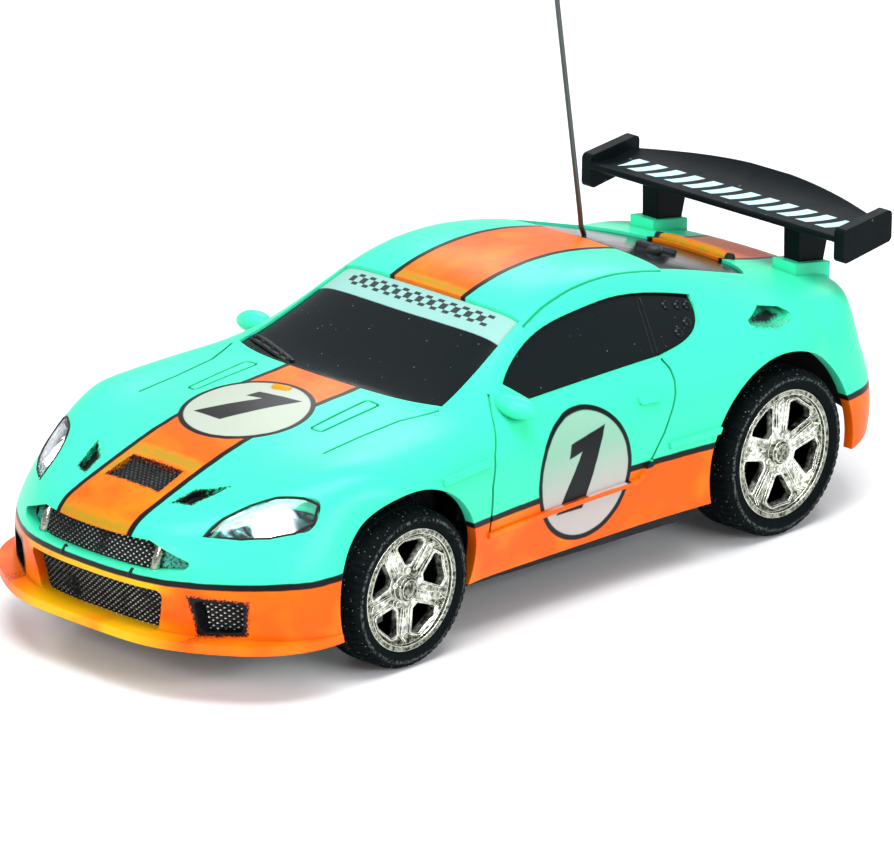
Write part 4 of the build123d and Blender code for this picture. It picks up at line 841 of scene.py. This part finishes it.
def grille_posts():
    """Upright blade near each tip of the upper mouth, and two lugs under it."""
    posts = []
    for y in (-5.9, 5.9):
        foot = on_front("upper_grille", y, 9.6)[0]
        head = on_front("upper_grille", y, 11.5)[0]
        ends = [foot + Vector((0.3, 0, -0.1)), head + Vector((0.3, 0, 0.1))]
        posts.append(bead(ends, 0.42, 12, 0.75, (1, 0, 0)))
    piece("upper_grille_posts", posts, FINISHES["chrome_plastic"], "car")

    lugs = []
    for y, z in ((-2.6, 9.1), (4.3, 9.0)):
        at = on_front("body_shell", y, z)[0]
        lugs.append(bead([at + Vector((0, -0.15, -0.25)), at + Vector((-0.1, 0.2, 0.4))], 0.15, 10))
    piece("grille_lugs", lugs, FINISHES["black_plastic"], "car")


# ---------------------------------------------------------------- body details
def headlight_shadow_lines():
    """Dark bead round each lens, just inside the lens's edge: painted shade along the lens's outline."""
    rim_line = [(34.0, 8.6), (32.2, 8.9), (30.2, 9.8), (28.5, 11.0), (27.2, 12.6), (26.6, 13.6),
                (27.4, 14.0), (29.0, 13.4), (30.6, 12.3), (32.2, 10.8), (34.0, 8.6)]
    path = []
    for (x0, y0), (x1, y1) in zip(rim_line, rim_line[1:]):
        for share in (0, 0.34, 0.67):
            x = x0 + (x1 - x0) * share
            y = y0 + (y1 - y0) * share
            hit = on_top("headlight_lens_left", x + (30.0 - x) * 0.04, y + (11.3 - y) * 0.04)[0]
            if hit is not None:
                path.append(hit)
    # a black bead standing in for the shade along the edge of the lamp opening
    shadow_bead = bead(path, 0.11, 8)
    finish = FINISHES["black_plastic"]
    piece("headlight_shadow_beads", [shadow_bead, mirrored(shadow_bead)], finish, "car")


def window_details():
    """Pillar beads, rivets on the rear quarter glass and a wiper."""
    glass = "window_insert"
    finish = FINISHES["smoked_glazing"]
    beads = []
    for shift in (-0.45, 0.0):
        path = []
        for step in range(9):
            share = step / 8
            z = 17.1 + share * 4.0
            x = -10.0 - share * 0.9 + shift
            hit = on_side(glass, x, z)[0]
            if hit is not None:
                path.append(hit)
        beads.append(bead(path, 0.09, 8))
    beads += [mirrored(shape) for shape in beads]
    piece("pillar_beads", beads, finish, "car")

    rivets = []
    for x, z in [(-13.5, 19.75), (-14.7, 19.5), (-15.6, 19.3), (-14.6, 18.4), (-13.3, 17.95)]:
        hit, normal = on_side(glass, x, z)
        if hit is not None:
            profile = [(0.42, -0.1), (0.42, 0.06), (0.30, 0.18), (0.16, 0.20), (0.12, 0.10), (0.0, 0.08)]
            rivets.append(turned(profile, 16, hit, normal))
    rivets += [mirrored(shape) for shape in rivets]
    piece("quarter_rivets", rivets, finish, "car")

    wiper = []
    for start, end, radius in [((9.6, -10.1), (11.6, -4.2), 0.24), ((10.1, -10.1), (12.0, -4.3), 0.24),
                               ((11.7, -7.9), (12.5, -1.6), 0.13)]:
        path = []
        for step in range(9):
            share = step / 8
            x = start[0] + (end[0] - start[0]) * share
            y = start[1] + (end[1] - start[1]) * share
            hit = on_top(glass, x, y)[0]
            if hit is not None:
                path.append(hit + Vector((0, 0, radius * 0.3)))
        wiper.append(bead(path, radius, 8, 0.6))
    for share in (0.05, 0.28, 0.55, 0.78, 0.96):
        hit, normal = on_top(glass, 9.85 + 1.95 * share, -10.1 + 5.8 * share)
        wiper.append(turned([(0.20, -0.1), (0.20, 0.22), (0.12, 0.30), (0.0, 0.30)], 10, hit, normal))
    piece("wiper", wiper, FINISHES["black_plastic"], "car")


def rear_glass_clip():
    """Black T-shaped clip on the rear window, beside the aerial."""
    bars = []
    for start, end, radius in [((-22.7, 0.0), (-23.9, 2.5), 0.5), ((-23.0, 1.4), (-20.9, 3.2), 0.62)]:
        ends = [on_top("window_insert", *at)[0] + Vector((0, 0, 0.15)) for at in (start, end)]
        bars.append(bead(ends, radius, 12, 0.55))
    piece("rear_glass_clip", bars, FINISHES["black_plastic"], "car")


def hood_blister():
    """Small orange blister on the hood disc's rear edge."""
    hit = on_top("body_shell", 16.5, -0.5)[0]
    along = Vector((-0.15, 0.55, 0))
    blister = bead([hit - along, hit + along], 0.42, 12, 0.5)
    piece("hood_blister", [blister], FINISHES["orange_plastic"], "car")


def boot_lip():
    """Rounded lip along the boot's front edge with a dark stud at each end."""
    path = []
    for step in range(9):
        y = -3.3 + 6.6 * step / 8
        path.append(on_top("body_shell", -29.15, y)[0] + Vector((0, 0, 0.12)))
    lip = bead(path, 0.50, 12, 0.9)
    piece("boot_lip", [lip], FINISHES["body_paint"], "car")
    studs = []
    for y in (-3.75, 3.75):
        hit, normal = on_top("body_shell", -29.15, y)
        studs.append(turned([(0.42, -0.2), (0.42, 0.22), (0.3, 0.42), (0.0, 0.46)], 16, hit, normal))
    piece("boot_studs", studs, FINISHES["black_plastic"], "car")


# ---------------------------------------------------------------- tyres
def tyre_shape(radius, rim_radius, middle, half_width, blocks=60):
    """Low-profile tyre with rounded shoulders, two ring grooves and cut shoulder blocks."""
    lip = rim_radius + 0.03
    half = [(lip, half_width - 0.05), (lip + 0.2, half_width + 0.16), (radius - 0.85, half_width + 0.22),
            (radius - 0.62, half_width + 0.20), (radius - 0.56, half_width + 0.14),
            (radius - 0.50, half_width + 0.19), (radius - 0.26, half_width + 0.06),
            (radius - 0.09, half_width - 0.16), (radius, half_width - 0.52), (radius, 0.86),
            (radius - 0.16, 0.76), (radius - 0.16, 0.54), (radius, 0.44)]
    profile = [(lip - 0.45, -half_width + 0.9), (lip, -half_width + 0.5)]
    profile += [(r, -y) for r, y in half]
    profile += list(reversed(half))
    profile += [(lip, half_width - 0.5), (lip - 0.45, half_width - 0.9)]
    sides = blocks * 4
    points = []
    for side in range(sides):
        turn = 2 * math.pi * side / sides
        cut = side % 4 == 0
        for r, y in profile:
            shoulder = half_width - 0.9 < abs(y) < half_width + 0.1 and r > radius - 0.3
            depth = 0.13 if cut and shoulder else 0.0
            points.append(((r - depth) * math.cos(turn), y, (r - depth) * math.sin(turn)))
    count = len(profile)
    faces = []
    for side in range(sides):
        after = (side + 1) % sides
        for index in range(count):
            nxt = (index + 1) % count
            faces.append([side * count + index, side * count + nxt,
                          after * count + nxt, after * count + index])
    return [(x + middle[0], y + middle[1], z + middle[2]) for x, y, z in points], faces


def tyres():
    for axle, at, radius, rim_radius in WHEELS:
        rim_width = size_of(f"{axle}_rim_left").y
        shape = tyre_shape(radius, rim_radius, at, rim_width / 2)
        for side in ("left", "right"):
            body = f"front_wheel_{side}" if axle == "front" else "rear_drive"
            made = piece(f"{axle}_tread_{side}", [shape if side == "left" else mirrored(shape)],
                         FINISHES["tyre_rubber"], body)
            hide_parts(f"{axle}_tyre_{side}")


# ---------------------------------------------------------------- studio
SKY_LIGHT = 0.60
FLOOR_REACH = 6.0                 # metres from the middle to each edge
CAMERA_AT = (0.47644, 0.45456, 0.24165)
CAMERA_AZIMUTH = 43.586
CAMERA_ELEVATION = 19.329
CAMERA_ROLL = 0.7585
CAMERA_LENS = 365.25


def area_light(name, at, towards, size, power, colour=(1, 1, 1)):
    light = bpy.data.lights.new(name, "AREA")
    light.shape = "RECTANGLE"
    light.size = size[0]
    light.size_y = size[1]
    light.energy = power
    light.color = colour
    obj = bpy.data.objects.new(name, light)
    obj.location = at
    obj.rotation_euler = (Vector(towards) - Vector(at)).to_track_quat("-Z", "Y").to_euler()
    bpy.context.scene.collection.objects.link(obj)


def studio():
    g = Graph("floor")
    place = g.place()
    shade = g.blend(g.noise(place, 60.0, 3.0) * 0.3, (0.86, 0.87, 0.88), (0.80, 0.81, 0.82))
    floor_finish = g.close(Base_Color=shade, Roughness=0.35 + g.noise(place, 20.0) * 0.1)
    mesh = bpy.data.meshes.new("floor")
    quarters = ((-1, -1), (1, -1), (1, 1), (-1, 1))
    corners = [(ahead * FLOOR_REACH, aside * FLOOR_REACH, 0) for ahead, aside in quarters]
    mesh.from_pydata(corners, [], [(0, 1, 2, 3)])
    mesh.materials.append(floor_finish)
    floor = bpy.data.objects.new("floor", mesh)
    bpy.context.scene.collection.objects.link(floor)

    area_light("top_softbox", (0.05, 0.05, 0.42), (0, 0, 0), (0.30, 0.22), 1.8)
    area_light("front_softbox", (0.42, 0.05, 0.22), (0, 0, 0.01), (0.22, 0.14), 0.9)
    area_light("left_softbox", (0.02, 0.42, 0.20), (0, 0, 0.01), (0.26, 0.12), 0.9)
    area_light("back_softbox", (-0.35, -0.25, 0.30), (0, 0, 0.01), (0.24, 0.16), 0.5)

    world = bpy.data.worlds.new("studio")
    bpy.context.scene.world = world
    world.use_nodes = True
    background = world.node_tree.nodes["Background"]
    background.inputs["Color"].default_value = (0.93, 0.96, 1.0, 1)
    background.inputs["Strength"].default_value = SKY_LIGHT
    bpy.context.scene.view_settings.view_transform = "Standard"


def camera():
    azimuth = math.radians(CAMERA_AZIMUTH)
    elevation = math.radians(CAMERA_ELEVATION)
    roll = math.radians(CAMERA_ROLL)
    back = Vector((math.cos(elevation) * math.cos(azimuth), math.cos(elevation) * math.sin(azimuth),
                   math.sin(elevation)))
    right = Vector((-math.sin(azimuth), math.cos(azimuth), 0))
    up = back.cross(right)
    turned_right = right * math.cos(roll) + up * math.sin(roll)
    turned_up = up * math.cos(roll) - right * math.sin(roll)
    data = bpy.data.cameras.new("camera")
    data.lens = CAMERA_LENS
    data.sensor_width = 36.0
    data.clip_start = 0.01
    obj = bpy.data.objects.new("camera", data)
    aim = Matrix((turned_right, turned_up, back)).transposed().to_4x4()
    obj.matrix_world = Matrix.Translation(Vector(CAMERA_AT)) @ aim
    bpy.context.scene.collection.objects.link(obj)
    bpy.context.scene.camera = obj


dress_cad_nodes()
grille_meshes()
grille_posts()
headlight_shadow_lines()
window_details()
boot_lip()
rear_glass_clip()
hood_blister()
tyres()
studio()
camera()
